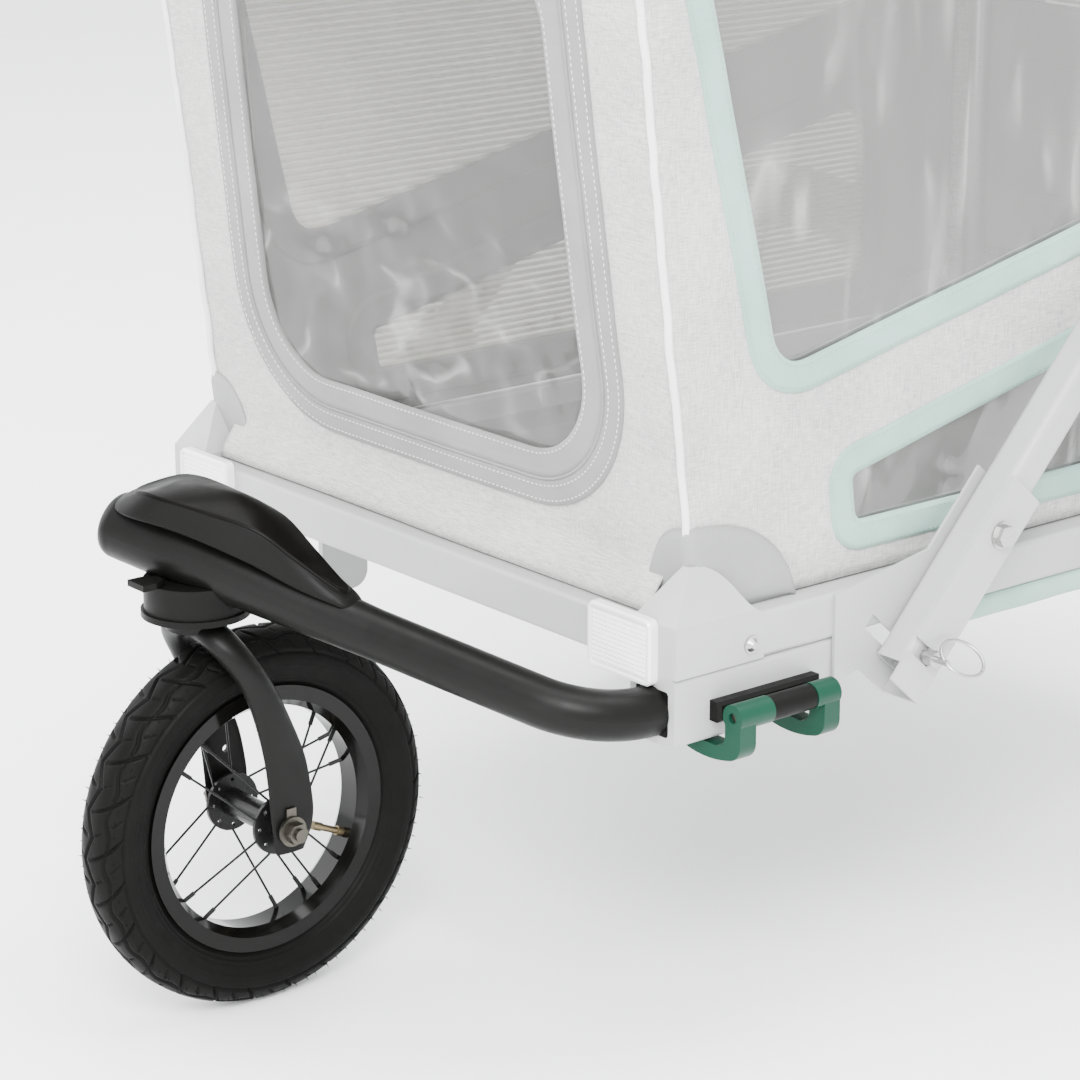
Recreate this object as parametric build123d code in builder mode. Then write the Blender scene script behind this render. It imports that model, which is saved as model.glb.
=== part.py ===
from build123d import *
import math
import os

os.makedirs("parts", exist_ok=True)

# Child bicycle trailer with its stroller wheel fitted. Millimetres, +Z up, +X the trailer's left,
# -Y its front. The origin is on the ground, at the middle of the whole object.

# --- driving dimensions ---
FRONT_Y = -350.0            # front face of the front beam
REAR_Y = 590.0              # rear face of the rear beam
RAIL_X = 332.0              # outer face of a side rail
RAIL_W, RAIL_Z, RAIL_H = 32.0, 322.0, 36.0
RAIL_WALL = 2.0
BEAM_T = 25.0               # front and rear beam, front to back
CORNER_W, CORNER_L, CORNER_TOP = 47.0, 88.0, 400.0
CORNER_IN = RAIL_X - CORNER_W

STROLLER_Y = -500.0         # stroller wheel axle
STROLLER_R = 155.0
STEER_Y = -550.0            # steering axis
STEM_R = 9.0
RUN = 0.05                  # radial clearance of a running fit

MAIN_X, MAIN_Y, MAIN_R = 395.0, 401.0, 254.0
AXLE_R = 6.0

ARM_X, ARM_Z, ARM_R, ARM_WALL = 306.0, 293.0, 19.5, 2.5
ARM_END_Y = FRONT_Y - 0.5
ARM_BEND_Y = -403.0
ARM_BEND_R = 78.0
HEAD = Vector(0, STEER_Y, 375.0)
HEAD_OVERHANG = 60.0
PLUG_W, PLUG_L = 35.4, 118.0
SOCKET_W = 36.0

PIVOT_Y, PIVOT_Z = -51.0, 387.0      # push bar pivot
BAR_ANGLE = 47.6
BAR_X, BAR_W, BAR_T = 352.0, 32.0, 30.0
BAR_BELOW, BAR_LENGTH, NECK = 128.0, 690.0, 32.0
GRIP_Y, GRIP_Z, HANDLE_X, HANDLE_R = 634.0, 984.0, 365.7, 12.5

FRONT_PIVOT = (-295.0, 380.0)        # upper frame hoops, (y, z)
REAR_PIVOT = (555.0, 372.0)
FRONT_HOOP_X, REAR_HOOP_X, HOOP_R = 272.0, 245.0, 11.0
HOOP_TOP = 885.0
PIN_R = 4.0

FLAG_X, FLAG_Y, FLAG_R = 345.0, 560.0, 3.25

SKIN = 6.0                           # fabric thickness in the model
SKIN_X = 311.0                       # outer face of a side panel
SKIN_Z0, SKIN_Z1 = 360.0, 899.0
FACE_Y, FACE_Z, FACE_LEAN = -319.0, 412.0, 0.124
REAR_SKIN_Y = 580.0


def save(piece, name):
    """Label a finished piece and write it as a STEP file."""
    piece.part.label = name
    export_step(piece.part, f"parts/{name}.step")


def side_name(side):
    return "left" if side > 0 else "right"


def span(low, high):
    """Length and centre of a stretch."""
    return high - low, (high + low) / 2


# --- lower frame ---
SIDES = (1, -1)


def make_rails():
    length, middle = span(FRONT_Y + CORNER_L, REAR_Y - CORNER_L)
    with BuildPart() as rails:
        for side in SIDES:
            start = (side * (RAIL_X - RAIL_W / 2), middle - length / 2, RAIL_Z + RAIL_H / 2)
            with BuildSketch(Plane(start, z_dir=(0, 1, 0), x_dir=(1, 0, 0))):
                RectangleRounded(RAIL_W, RAIL_H, 4)
                RectangleRounded(RAIL_W - 2 * RAIL_WALL, RAIL_H - 2 * RAIL_WALL, 2, mode=Mode.SUBTRACT)
            extrude(amount=length)
    save(rails, "side_rails")


def make_beams():
    with BuildPart() as beams:
        for y in (FRONT_Y + BEAM_T / 2, REAR_Y - BEAM_T / 2):
            with BuildSketch(Plane((-CORNER_IN, y, RAIL_Z + RAIL_H / 2), z_dir=(1, 0, 0), x_dir=(0, 1, 0))):
                RectangleRounded(BEAM_T, RAIL_H, 4)
                RectangleRounded(BEAM_T - 2 * RAIL_WALL, RAIL_H - 2 * RAIL_WALL, 2, mode=Mode.SUBTRACT)
            extrude(amount=2 * CORNER_IN)
    save(beams, "end_beams")


def corner_moulding(side, outer, inward):
    """Sleeve round a frame corner that rises to a crest against the cabin's corner."""
    foot = outer + inward * CORNER_L
    rail_top = RAIL_Z + RAIL_H
    crest = outer + inward * 37
    shoulder = rail_top + 4
    with BuildPart() as moulding:
        with BuildSketch(Plane((0, 0, 0), z_dir=(side, 0, 0), x_dir=(0, side, 0))):
            with BuildLine():
                Polyline((side * foot, rail_top), (side * foot, RAIL_Z), (side * outer, RAIL_Z),
                         (side * outer, shoulder), (side * (crest - inward * 9), CORNER_TOP),
                         (side * crest, CORNER_TOP))
                Spline((side * crest, CORNER_TOP), (side * (crest + inward * 26), 382), (side * foot, rail_top),
                       tangents=[(side * inward, -0.25), (side * inward, -0.3)])
            make_face()
        extrude(amount=RAIL_X)
        with BuildSketch(Plane((0, outer, 0), x_dir=(-inward, 0, 0), z_dir=(0, inward, 0))):
            with BuildLine():
                Polyline(*[(-inward * side * x, z) for x, z in (
                    (CORNER_IN, RAIL_Z), (RAIL_X, RAIL_Z), (RAIL_X, shoulder), (RAIL_X - 17, CORNER_TOP),
                    (RAIL_X - 25, CORNER_TOP), (CORNER_IN, shoulder))], close=True)
            make_face()
        extrude(amount=CORNER_L, mode=Mode.INTERSECT)
    return moulding.part


def make_corners(name, end):
    outer = FRONT_Y if end < 0 else REAR_Y
    with BuildPart() as corners:
        for side in SIDES:
            add(corner_moulding(side, outer, -end))
    save(corners, name)


def make_receiver():
    length = 162.0
    top = RAIL_Z
    bottom = 268.0
    height, middle = span(bottom, top)
    with BuildPart() as receiver:
        with BuildSketch(Plane((ARM_X, FRONT_Y, middle), z_dir=(0, 1, 0), x_dir=(1, 0, 0))):
            RectangleRounded(50, height, 5)
        extrude(amount=length)
        with BuildSketch(Plane((ARM_X, FRONT_Y, ARM_Z), z_dir=(0, 1, 0), x_dir=(1, 0, 0))):
            RectangleRounded(SOCKET_W, SOCKET_W, 3)
        extrude(amount=length, mode=Mode.SUBTRACT)
    save(receiver, "arm_receiver")


def make_floor():
    length, middle = span(FRONT_Y + BEAM_T, REAR_Y - BEAM_T)
    board_width = 2 * (RAIL_X - RAIL_W)
    with BuildPart() as board:
        with Locations((0, middle, 333)):
            Box(2 * CORNER_IN, length, 6)
            Box(board_width, length - 2 * (CORNER_L - BEAM_T), 6)
    save(board, "floor_board")

    with BuildPart() as cross:
        for y in (-70, 310):
            with BuildSketch(Plane((-RAIL_X + RAIL_W, y, 317.5), z_dir=(1, 0, 0), x_dir=(0, 1, 0))):
                RectangleRounded(25, 25, 3)
                RectangleRounded(21, 21, 1.5, mode=Mode.SUBTRACT)
            extrude(amount=board_width)
    save(cross, "cross_tubes")

    with BuildPart() as mat:
        with Locations((0, 125, 343.5)):
            Box(450, 830, 13)
        fillet(mat.edges().filter_by(Axis.Z), 30)
        fillet(mat.edges().group_by(Axis.Z)[-1], 5)
    save(mat, "floor_mat")


def make_skirts():
    length, middle = span(-46, 500)
    with BuildPart() as skirts:
        with Locations((324, middle, 311.5), (-324, middle, 311.5)):
            Box(12, length, 20)
        fillet(skirts.edges().filter_by(Axis.Y).group_by(Axis.Z)[0], 4)
    save(skirts, "floor_skirts")


def make_reflectors(name, end):
    face = FRONT_Y if end < 0 else REAR_Y
    with BuildPart() as reflectors:
        for side in SIDES:
            with BuildSketch(Plane((side * 276, face, 339), z_dir=(0, end, 0), x_dir=(1, 0, 0))):
                RectangleRounded(72, 52, 6)
            extrude(amount=9)
        fillet(reflectors.faces().filter_by(Plane.XZ).group_by(Axis.Y)[0 if end < 0 else -1].edges(), 1.5)
    save(reflectors, name)


def make_rest_foot():
    """Flat foot hanging from the inner face of the right rail, to rest the parked trailer on a kerb."""
    height, middle = span(206, 329)
    with BuildPart() as foot:
        with BuildSketch(Plane((-RAIL_X + RAIL_W, -196, middle), z_dir=(1, 0, 0), x_dir=(0, 1, 0))):
            RectangleRounded(50, height, 16)
        extrude(amount=6)
    save(foot, "rest_foot")


def make_frame_bolts():
    spots = [(-275, 335), (530, 335), (470, 338)]
    with BuildPart() as bolts:
        for side in (1, -1):
            for y, z in spots:
                with Locations(Location((side * RAIL_X, y, z), (0, side * 90, 0))):
                    Cylinder(7, 1.2, align=(Align.CENTER, Align.CENTER, Align.MIN))
                with Locations(Location((side * (RAIL_X + 1.2), y, z), (0, side * 90, 0))):
                    Cone(5.5, 2.6, 3.4, align=(Align.CENTER, Align.CENTER, Align.MIN))
    save(bolts, "frame_bolts")


# --- wheels: profiles are drawn as (across, radius) and turned about the wheel's X axis ---
def make_tyre(name, centre, radius, half_width, bead_r, bead_half):
    """Open tyre carcass with its two beads seated between the rim flanges."""
    x, y, z = centre
    wall = 4.0
    shoulder = (radius - bead_r) * 0.52 + bead_r
    lip = bead_r + 11
    with BuildPart() as tyre:
        with BuildSketch(Plane((x, y, z), z_dir=(0, -1, 0), x_dir=(1, 0, 0))):
            with BuildLine():
                Polyline((bead_half - wall, lip), (bead_half - wall, bead_r), (bead_half, bead_r), (bead_half, lip))
                outer = (half_width, shoulder)
                bulge = (half_width * 0.87, (lip + shoulder) / 2 - 1.5)
                crown = (half_width * 0.72, radius - (radius - shoulder) * 0.27)
                ThreePointArc((bead_half, lip), bulge, outer)
                ThreePointArc(outer, crown, (0, radius))
                inner = (half_width - wall, shoulder)
                inner_crown = (crown[0] - wall * 0.7, crown[1] - wall)
                Line((0, radius), (0, radius - wall - 1))
                ThreePointArc((0, radius - wall - 1), inner_crown, inner)
                Line(inner, (bead_half - wall, lip))
            make_face()
            mirror(about=Plane.YZ)
        revolve(axis=Axis((x, y, z), (1, 0, 0)))
    save(tyre, name)


def make_rim(name, centre, half_width, flange_r, seat_r, inner_r):
    x, y, z = centre
    wall = 2.5
    with BuildPart() as rim:
        with BuildSketch(Plane((x, y, z), z_dir=(0, -1, 0), x_dir=(1, 0, 0))):
            with BuildLine():
                Polyline((0, inner_r), (half_width * 0.55, inner_r), (half_width, inner_r + 6),
                         (half_width, flange_r), (half_width - wall, flange_r),
                         (half_width - wall, seat_r - 0.1), (half_width * 0.45, inner_r + wall + 1),
                         (0, inner_r + wall + 1), (0, inner_r))
            make_face()
            mirror(about=Plane.YZ)
        revolve(axis=Axis((x, y, z), (1, 0, 0)))
    save(rim, name)


def make_spokes(name, centre, count, hub_r, hub_half, rim_r, rim_half, spoke_r, lean):
    """Spokes from alternate hub flanges, each leaning a little round the wheel."""
    x, y, z = centre
    with BuildPart() as spokes:
        for index in range(count):
            flank = 1 if index % 2 else -1
            angle = math.radians(360 * index / count)
            twist = math.radians(lean * (1 if index % 4 < 2 else -1))
            foot = Vector(x + flank * hub_half, y + hub_r * math.cos(angle), z + hub_r * math.sin(angle))
            tip = Vector(x + flank * rim_half, y + rim_r * math.cos(angle + twist),
                         z + rim_r * math.sin(angle + twist))
            way = (tip - foot).normalized()
            nipple = tip - way * 11
            with BuildSketch(Plane(foot, z_dir=way)):
                Circle(spoke_r)
            extrude(amount=(nipple - foot).length)
            with BuildSketch(Plane(nipple, z_dir=way)):
                Circle(spoke_r * 1.8)
            extrude(amount=11)
    save(spokes, name)


def make_hub(name, centre, half, barrel_r, flange_r, flange_half, bore_r, holes):
    x, y, z = centre
    across = Plane((x - half, y, z), z_dir=(1, 0, 0), x_dir=(0, 1, 0))
    with BuildPart() as hub:
        with BuildSketch(across):
            Circle(barrel_r)
        extrude(amount=2 * half)
        for flank in (-1, 1):
            with BuildSketch(across.offset(half + flank * flange_half - 1.5)):
                Circle(flange_r)
                with PolarLocations(flange_r - 5, holes):
                    Circle(1.6, mode=Mode.SUBTRACT)
            extrude(amount=3)
        with BuildSketch(across):
            Circle(bore_r)
        extrude(amount=2 * half, mode=Mode.SUBTRACT)
    save(hub, name)


# --- stroller wheel, fork and arm ---
def make_stroller_wheel():
    centre = (0, STROLLER_Y, STROLLER_R)
    make_tyre("stroller_tyre", centre, STROLLER_R, 27, 101.5, 16)
    make_rim("stroller_rim", centre, 19, 110, 101.5, 92)
    make_hub("stroller_hub", centre, 37, 11, 24, 32.5, 5 + RUN, 8)
    make_spokes("stroller_spokes", centre, 16, 24.1, 32.5, 91.9, 6, 1.0, 14)
    valve_angle = -24.0
    way = Vector(0, math.cos(math.radians(valve_angle)), math.sin(math.radians(valve_angle)))
    root = Vector(centre) + way * 91.9
    with BuildPart() as valve:
        with BuildSketch(Plane(root, z_dir=-way)):
            Circle(3.9)
        extrude(amount=6)
        with BuildSketch(Plane(root - way * 6, z_dir=-way)):
            Circle(2.8)
        extrude(amount=17)
        with BuildSketch(Plane(root - way * 23, z_dir=-way)):
            Circle(3.6)
        extrude(amount=9)
    save(valve, "stroller_valve")


FORK_LEG = [  # (across, along, height, lean from level, half thickness, half width) down a fork leg
    (12, -50, 321, 0, 9, 14),
    (28, -48, 317, 35, 10, 14),
    (40, -41, 304, 65, 10.5, 14),
    (46.5, -26, 278, 86, 9.5, 14),
    (48, -11, 240, 90, 7, 16.5),
    (46.6, -2, 212, 90, 3.4, 19),
    (46, 2, 188, 90, 2.5, 20),
    (46, 4, 164, 90, 2.5, 20),
    (46, 3, 148, 90, 2.5, 17),
    (46, 1, 136, 90, 2.5, 13),
]


def make_fork():
    with BuildPart() as fork:
        with BuildSketch(Plane((0, STEER_Y, 322))):
            Circle(24)
        extrude(amount=10.5)
        with BuildSketch(Plane((0, STEER_Y, 322))):
            Circle(STEM_R)
        extrude(amount=28)
        for side in (1, -1):
            for across, along, height, lean, half_t, half_w in FORK_LEG:
                way = Vector(side * math.cos(math.radians(lean)), 0, -math.sin(math.radians(lean)))
                with BuildSketch(Plane((side * across, STROLLER_Y + along, height), x_dir=(0, 1, 0), z_dir=way)):
                    Ellipse(half_w, half_t)
            loft()
        with Locations(Location((0, STROLLER_Y, STROLLER_R), (0, 90, 0))):
            Cylinder(5, 120, mode=Mode.SUBTRACT)
        with Locations(Location((-47, STROLLER_Y + 3, 196), (0, 90, 0))):
            Cylinder(3.2, 12, mode=Mode.SUBTRACT)
    save(fork, "fork")

    with BuildPart() as axle:
        with Locations(Location((0, STROLLER_Y, STROLLER_R), (0, 90, 0))):
            Cylinder(5, 128)
    save(axle, "stroller_axle")

    with BuildPart() as nuts:
        for side in (1, -1):
            face = Plane((side * 53.2, STROLLER_Y, STROLLER_R), z_dir=(side, 0, 0), x_dir=(0, 1, 0))
            with BuildSketch(face):
                RegularPolygon(9, 6)
                Circle(5, mode=Mode.SUBTRACT)
            extrude(amount=7.5)
    save(nuts, "axle_nuts")

    with BuildPart() as washers:
        for side in (1, -1):
            face = Plane((side * 49.2, STROLLER_Y, STROLLER_R), z_dir=(side, 0, 0), x_dir=(0, 1, 0))
            with BuildSketch(face):
                Circle(11.5)
                with Locations((0, 12)):
                    Rectangle(9, 14)
                Circle(5, mode=Mode.SUBTRACT)
            extrude(amount=1.6)
            with BuildSketch(face.offset(1.6)):
                Circle(12.2)
                Circle(5, mode=Mode.SUBTRACT)
            extrude(amount=2.4)
    save(washers, "axle_washers")


ARM_FAR = Vector(ARM_X, ARM_BEND_Y, ARM_Z)
ARM_WAY = (ARM_FAR - HEAD).normalized()          # from the head towards the receiver
ARM_END = HEAD - ARM_WAY * HEAD_OVERHANG
COVER_UP = Vector(0, 0, 1) - ARM_WAY * ARM_WAY.Z


def arm_ring(outer, inner):
    Circle(outer)
    Circle(inner, mode=Mode.SUBTRACT)


HEAD_SECTIONS = [  # (along the arm, height of centre, half height, half width) of the arm's fatter end
    (-62, 5, 26.5, 28),
    (20, 5, 26.5, 28),
    (90, 2, 22.5, 24),
    (160, 0, 19.5, 19.5),
]


def head_shape(spare):
    """The arm's fatter end, grown all round by spare."""
    up = COVER_UP.normalized()
    with BuildPart() as head:
        for along, centre, half_h, half_w in HEAD_SECTIONS:
            with BuildSketch(Plane(HEAD + ARM_WAY * along + up * centre, x_dir=up, z_dir=ARM_WAY)):
                Ellipse(half_h + spare, half_w + spare)
        loft()
        along, centre, half_h, half_w = HEAD_SECTIONS[0]
        with BuildSketch(Plane(HEAD + ARM_WAY * along + up * centre, x_dir=up, z_dir=-ARM_WAY)):
            Ellipse(half_h + spare, half_w + spare)
        extrude(amount=15 + spare)
        fillet(head.faces().filter_by(GeomType.PLANE).sort_by(Axis((0, 0, 0), (ARM_WAY.X, ARM_WAY.Y, ARM_WAY.Z)))[0].edges(), 12)
    return head.part


def make_arm():
    with BuildPart() as arm:
        with BuildLine():
            FilletPolyline((ARM_X, ARM_END_Y, ARM_Z), ARM_FAR, ARM_END, radius=ARM_BEND_R)
        with BuildSketch(Plane((ARM_X, ARM_END_Y, ARM_Z), z_dir=(0, -1, 0), x_dir=(1, 0, 0))):
            arm_ring(ARM_R, ARM_R - ARM_WALL)
        sweep()
        add(head_shape(0))
    save(arm, "arm_tube")

    with BuildPart() as plug:
        with BuildSketch(Plane((ARM_X, ARM_END_Y, ARM_Z), z_dir=(0, 1, 0), x_dir=(1, 0, 0))):
            RectangleRounded(PLUG_W, PLUG_W, 2.7)
        extrude(amount=PLUG_L)
        with BuildSketch(Plane((ARM_X, ARM_END_Y + PLUG_L, ARM_Z), z_dir=(0, -1, 0), x_dir=(1, 0, 0))):
            Rectangle(PLUG_W - 6, PLUG_W - 6)
        extrude(amount=PLUG_L - 8, mode=Mode.SUBTRACT)
    save(plug, "arm_plug")

    with BuildPart() as housing:
        with BuildSketch(Plane((0, STEER_Y, 333))):
            Circle(42.5)
        extrude(amount=5)
        with BuildSketch(Plane((0, STEER_Y, 338))):
            Circle(40)
        extrude(amount=24)
        with BuildSketch(Plane((0, STEER_Y, 333))):
            Circle(STEM_R + RUN)
            with Locations((0, -33)):
                Circle(PIN_R + RUN)
        extrude(amount=40, mode=Mode.SUBTRACT)
        add(head_shape(0.1), mode=Mode.SUBTRACT)
    save(housing, "swivel_housing")

    with BuildPart() as lock:
        with BuildSketch(Plane((0, STEER_Y - 33, 334))):
            Circle(PIN_R)
        extrude(amount=28.5)
        with BuildSketch(Plane((0, STEER_Y - 33, 362.5))):
            Polygon((-5, 2), (5, 2), (11, -9), (11, -21), (-11, -21), (-11, -9), align=None)
        extrude(amount=5)
    save(lock, "swivel_lock")


def teardrop(plane, front, tip, half_front, half_tip, shrink):
    """Outline on a plane, from a round nose to a narrow tip along the plane's own X."""
    half = half_front - shrink
    nose = front + shrink
    wide = nose + half
    end = tip - shrink
    tail = max(half_tip - shrink * 0.6, 2.0)
    belly = ((wide + end) / 2, (half + tail) / 2 + 2)
    with BuildSketch(plane) as outline:
        with BuildLine():
            ThreePointArc((wide, half), (nose, 0), (wide, -half))
            Spline((wide, -half), (belly[0], -belly[1]), (end - tail, -tail), tangents=[(1, 0), (1, 0.28)])
            ThreePointArc((end - tail, -tail), (end, 0), (end - tail, tail))
            Spline((end - tail, tail), belly, (wide, half), tangents=[(-1, 0.28), (-1, 0)])
        make_face()
    return outline.sketch


def tilted(height, slope):
    """Plane over the arm, rising towards the nose."""
    up = (COVER_UP + ARM_WAY * slope).normalized()
    along = (ARM_WAY - COVER_UP.normalized() * slope).normalized()
    return Plane(HEAD + COVER_UP.normalized() * height, x_dir=along, z_dir=up)


def make_cover():
    seam = tilted(54, 0.19)
    outer = [teardrop(tilted(30, 0.075), -72, 145, 40, 14, 0), teardrop(seam, -62, 140, 37, 12, 0)]
    inner = [teardrop(tilted(28, 0.075), -72, 145, 40, 14, 4), teardrop(tilted(50, 0.19), -62, 140, 37, 12, 4)]
    with BuildPart() as skirt:
        loft(outer)
        loft(inner, mode=Mode.SUBTRACT)
        add(head_shape(0.1), mode=Mode.SUBTRACT)
    save(skirt, "head_cover")

    with BuildPart() as panel:
        loft([teardrop(seam.offset(0.05), -58, 134, 34, 8, 0), teardrop(tilted(73, 0.3), -24, 88, 20, 6, 0)])
    save(panel, "head_cover_top")


# --- clamp that holds the arm's plug in the receiver ---
CLAMP_X, CLAMP_Z = 354.0, 291.0
FRONT_LEG, GRIP_SPAN, REAR_LEG = (-313, -278.5), (-278, -235), (-234.5, -211)


def make_clamp():
    receiver_face = ARM_X + 25
    with BuildPart() as plate:
        with Locations((receiver_face + 5.5, -263, 292)):
            Box(11, 104, 16)
        chamfer(plate.faces().sort_by(Axis.X)[-1].edges(), 2.5)
        length, middle = span(*GRIP_SPAN)
        with Locations((348, middle, CLAMP_Z)):
            Box(13, length, 9)
        with Locations(Location((CLAMP_X, middle, CLAMP_Z), (90, 0, 0))):
            Cylinder(10, length)
            Cylinder(PIN_R, length, mode=Mode.SUBTRACT)
    save(plate, "clamp_plate")

    length, middle = span(FRONT_LEG[0] + 3, REAR_LEG[1] - 3)
    with BuildPart() as rod:
        with Locations(Location((CLAMP_X, middle, CLAMP_Z), (90, 0, 0))):
            Cylinder(PIN_R, length)
    save(rod, "clamp_rod")

    with BuildPart() as lever:
        for leg in (FRONT_LEG, REAR_LEG):
            length, middle = span(*leg)
            width = min(length, 16)
            start = leg[0] if leg is FRONT_LEG else leg[1] - width
            with Locations(Location((CLAMP_X, middle, CLAMP_Z), (90, 0, 0))):
                Cylinder(10.5, length)
            with BuildSketch(Plane((0, start + width, 0), z_dir=(0, -1, 0), x_dir=(1, 0, 0))):
                with BuildLine():
                    Polyline((346, 291), (346, 272))
                    ThreePointArc((346, 272), (341, 266.5), (333, 265))
                    Polyline((333, 265), (288, 265.8), (284, 262))
                    ThreePointArc((284, 262), (318, 253.5), (352, 257))
                    ThreePointArc((352, 257), (360, 262), (363, 272))
                    Polyline((363, 272), (363, 291), (346, 291))
                make_face()
            extrude(amount=width)
        bar_length, bar_middle = span(FRONT_LEG[0], REAR_LEG[1])
        with Locations((292, bar_middle, 262)):
            Box(10, bar_length, 5)
        with Locations(Location((CLAMP_X, bar_middle, CLAMP_Z), (90, 0, 0))):
            Cylinder(PIN_R + RUN, bar_length, mode=Mode.SUBTRACT)
    save(lever, "clamp_lever")


# --- push bar ---
BAR_WAY = Vector(0, math.cos(math.radians(BAR_ANGLE)), math.sin(math.radians(BAR_ANGLE)))
BAR_OUT = Vector(0, -BAR_WAY.Z, BAR_WAY.Y)       # across the bar, towards the front and up
PIVOT = Vector(0, PIVOT_Y, PIVOT_Z)
BAR_SHIFT = 1.5                                   # bar centre line in front of the pivot
HUB = PIVOT + BAR_WAY * BAR_LENGTH + BAR_OUT * BAR_SHIFT
PIN_DROP = 113.0
FLANGE_T = 3.0
CHANNEL = (-146.0, 42.0)                          # along the bar, from the pivot
CHANNEL_BACK, CHANNEL_FRONT = -18.5, 21.5
OUTER_FACE = RAIL_X + 2 * FLANGE_T + BAR_W + 2.0   # outer face of a bracket


def bar_plane(x, side):
    """Plane across X whose own X runs up the bar."""
    return Plane(PIVOT + Vector(x, 0, 0), x_dir=BAR_WAY, z_dir=(side, 0, 0))


def make_brackets():
    """U-channels, each with its inner flange widened to a plate on the rail."""
    low, high = CHANNEL
    length, middle = span(low, high)
    depth, centre = span(CHANNEL_BACK, CHANNEL_FRONT)
    web_length, web_middle = span(low, -24.0)
    wide = OUTER_FACE - RAIL_X
    with BuildPart() as brackets:
        for side in SIDES:
            inner = side * RAIL_X
            for start in (inner, inner + side * (wide - FLANGE_T)):
                with BuildSketch(bar_plane(start, side)):
                    with Locations((middle, side * centre)):
                        Rectangle(length, depth)
                extrude(amount=FLANGE_T)
            tip = PIVOT + BAR_WAY * (low + 8) + BAR_OUT * 15
            head = PIVOT - BAR_WAY * 28 + BAR_OUT * 15
            plate = [(-191, 357), (-191, 286), (tip.Y, tip.Z), (head.Y, head.Z)]
            with BuildSketch(Plane((inner, 0, 0), z_dir=(side, 0, 0), x_dir=(0, side, 0))):
                with BuildLine():
                    Polyline(*[(y * side, z) for y, z in plate], close=True)
                make_face()
            extrude(amount=FLANGE_T)
            with BuildSketch(bar_plane(inner, side)):
                with Locations((web_middle, side * (CHANNEL_BACK + FLANGE_T / 2))):
                    Rectangle(web_length, FLANGE_T)
            extrude(amount=wide)
            with BuildSketch(bar_plane(inner, side)):
                Circle(5)
                with Locations((-PIN_DROP, side * (BAR_SHIFT + 15))):
                    Rectangle(13, 42)
            extrude(amount=wide, mode=Mode.SUBTRACT)
    save(brackets, "bar_brackets")


def make_push_bars():
    with BuildPart() as legs:
        for side in SIDES:
            foot = PIVOT - BAR_WAY * BAR_BELOW + BAR_OUT * BAR_SHIFT + Vector(side * BAR_X, 0, 0)
            with BuildSketch(Plane(foot, x_dir=(1, 0, 0), z_dir=BAR_WAY)):
                RectangleRounded(BAR_W, BAR_T, 7)
                RectangleRounded(BAR_W - 4, BAR_T - 4, 5, mode=Mode.SUBTRACT)
            extrude(amount=BAR_BELOW + BAR_LENGTH - NECK)
            with BuildSketch(bar_plane(side * (BAR_X - BAR_W), side)):
                Circle(5 + RUN)
                with Locations((-PIN_DROP, side * BAR_SHIFT)):
                    Circle(PIN_R + RUN)
            extrude(amount=2 * BAR_W, mode=Mode.SUBTRACT)
    save(legs, "push_bars")

    with BuildPart() as hubs:
        for side in SIDES:
            neck = HUB - BAR_WAY * NECK
            with BuildSketch(Plane(HUB + Vector(side * 336, 0, 0), z_dir=(side, 0, 0), x_dir=(0, 1, 0))):
                Circle(25)
            extrude(amount=16)
            with BuildSketch(Plane(neck + Vector(side * 344, 0, 0), x_dir=(1, 0, 0), z_dir=BAR_WAY)):
                RectangleRounded(16, 24, 4)
            extrude(amount=NECK - 8)
            with BuildSketch(Plane(neck + Vector(side * BAR_X, 0, 0), x_dir=(1, 0, 0), z_dir=-BAR_WAY)):
                RectangleRounded(BAR_W - 4.4, BAR_T - 4.4, 6)
            extrude(amount=30)
            with BuildSketch(Plane(HUB + Vector(side * 330, 0, 0), z_dir=(side, 0, 0), x_dir=(0, 1, 0))):
                Circle(PIN_R)
            extrude(amount=60, mode=Mode.SUBTRACT)
    save(hubs, "handle_hubs")


def make_ring_pin(side):
    across = {"z_dir": (side, 0, 0), "x_dir": (0, 1, 0)}
    outside = PIVOT - BAR_WAY * PIN_DROP + BAR_OUT * BAR_SHIFT + Vector(side * (OUTER_FACE + 0.6), 0, 0)
    with BuildPart() as pin:
        with BuildSketch(Plane(outside, **across)):
            Circle(PIN_R)
        extrude(amount=-36.5)
        with BuildSketch(Plane(outside, **across)):
            Circle(6.5)
        extrude(amount=9)
        with BuildSketch(Plane(outside, **across)):
            Circle(2.5)
        extrude(amount=22)
        with Locations(Location(outside + Vector(side * 20, 17.5, 0), (0, side * 35, 0))):
            Torus(18, 1.4)
    save(pin, f"{side_name(side)}_ring_pin")


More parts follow.
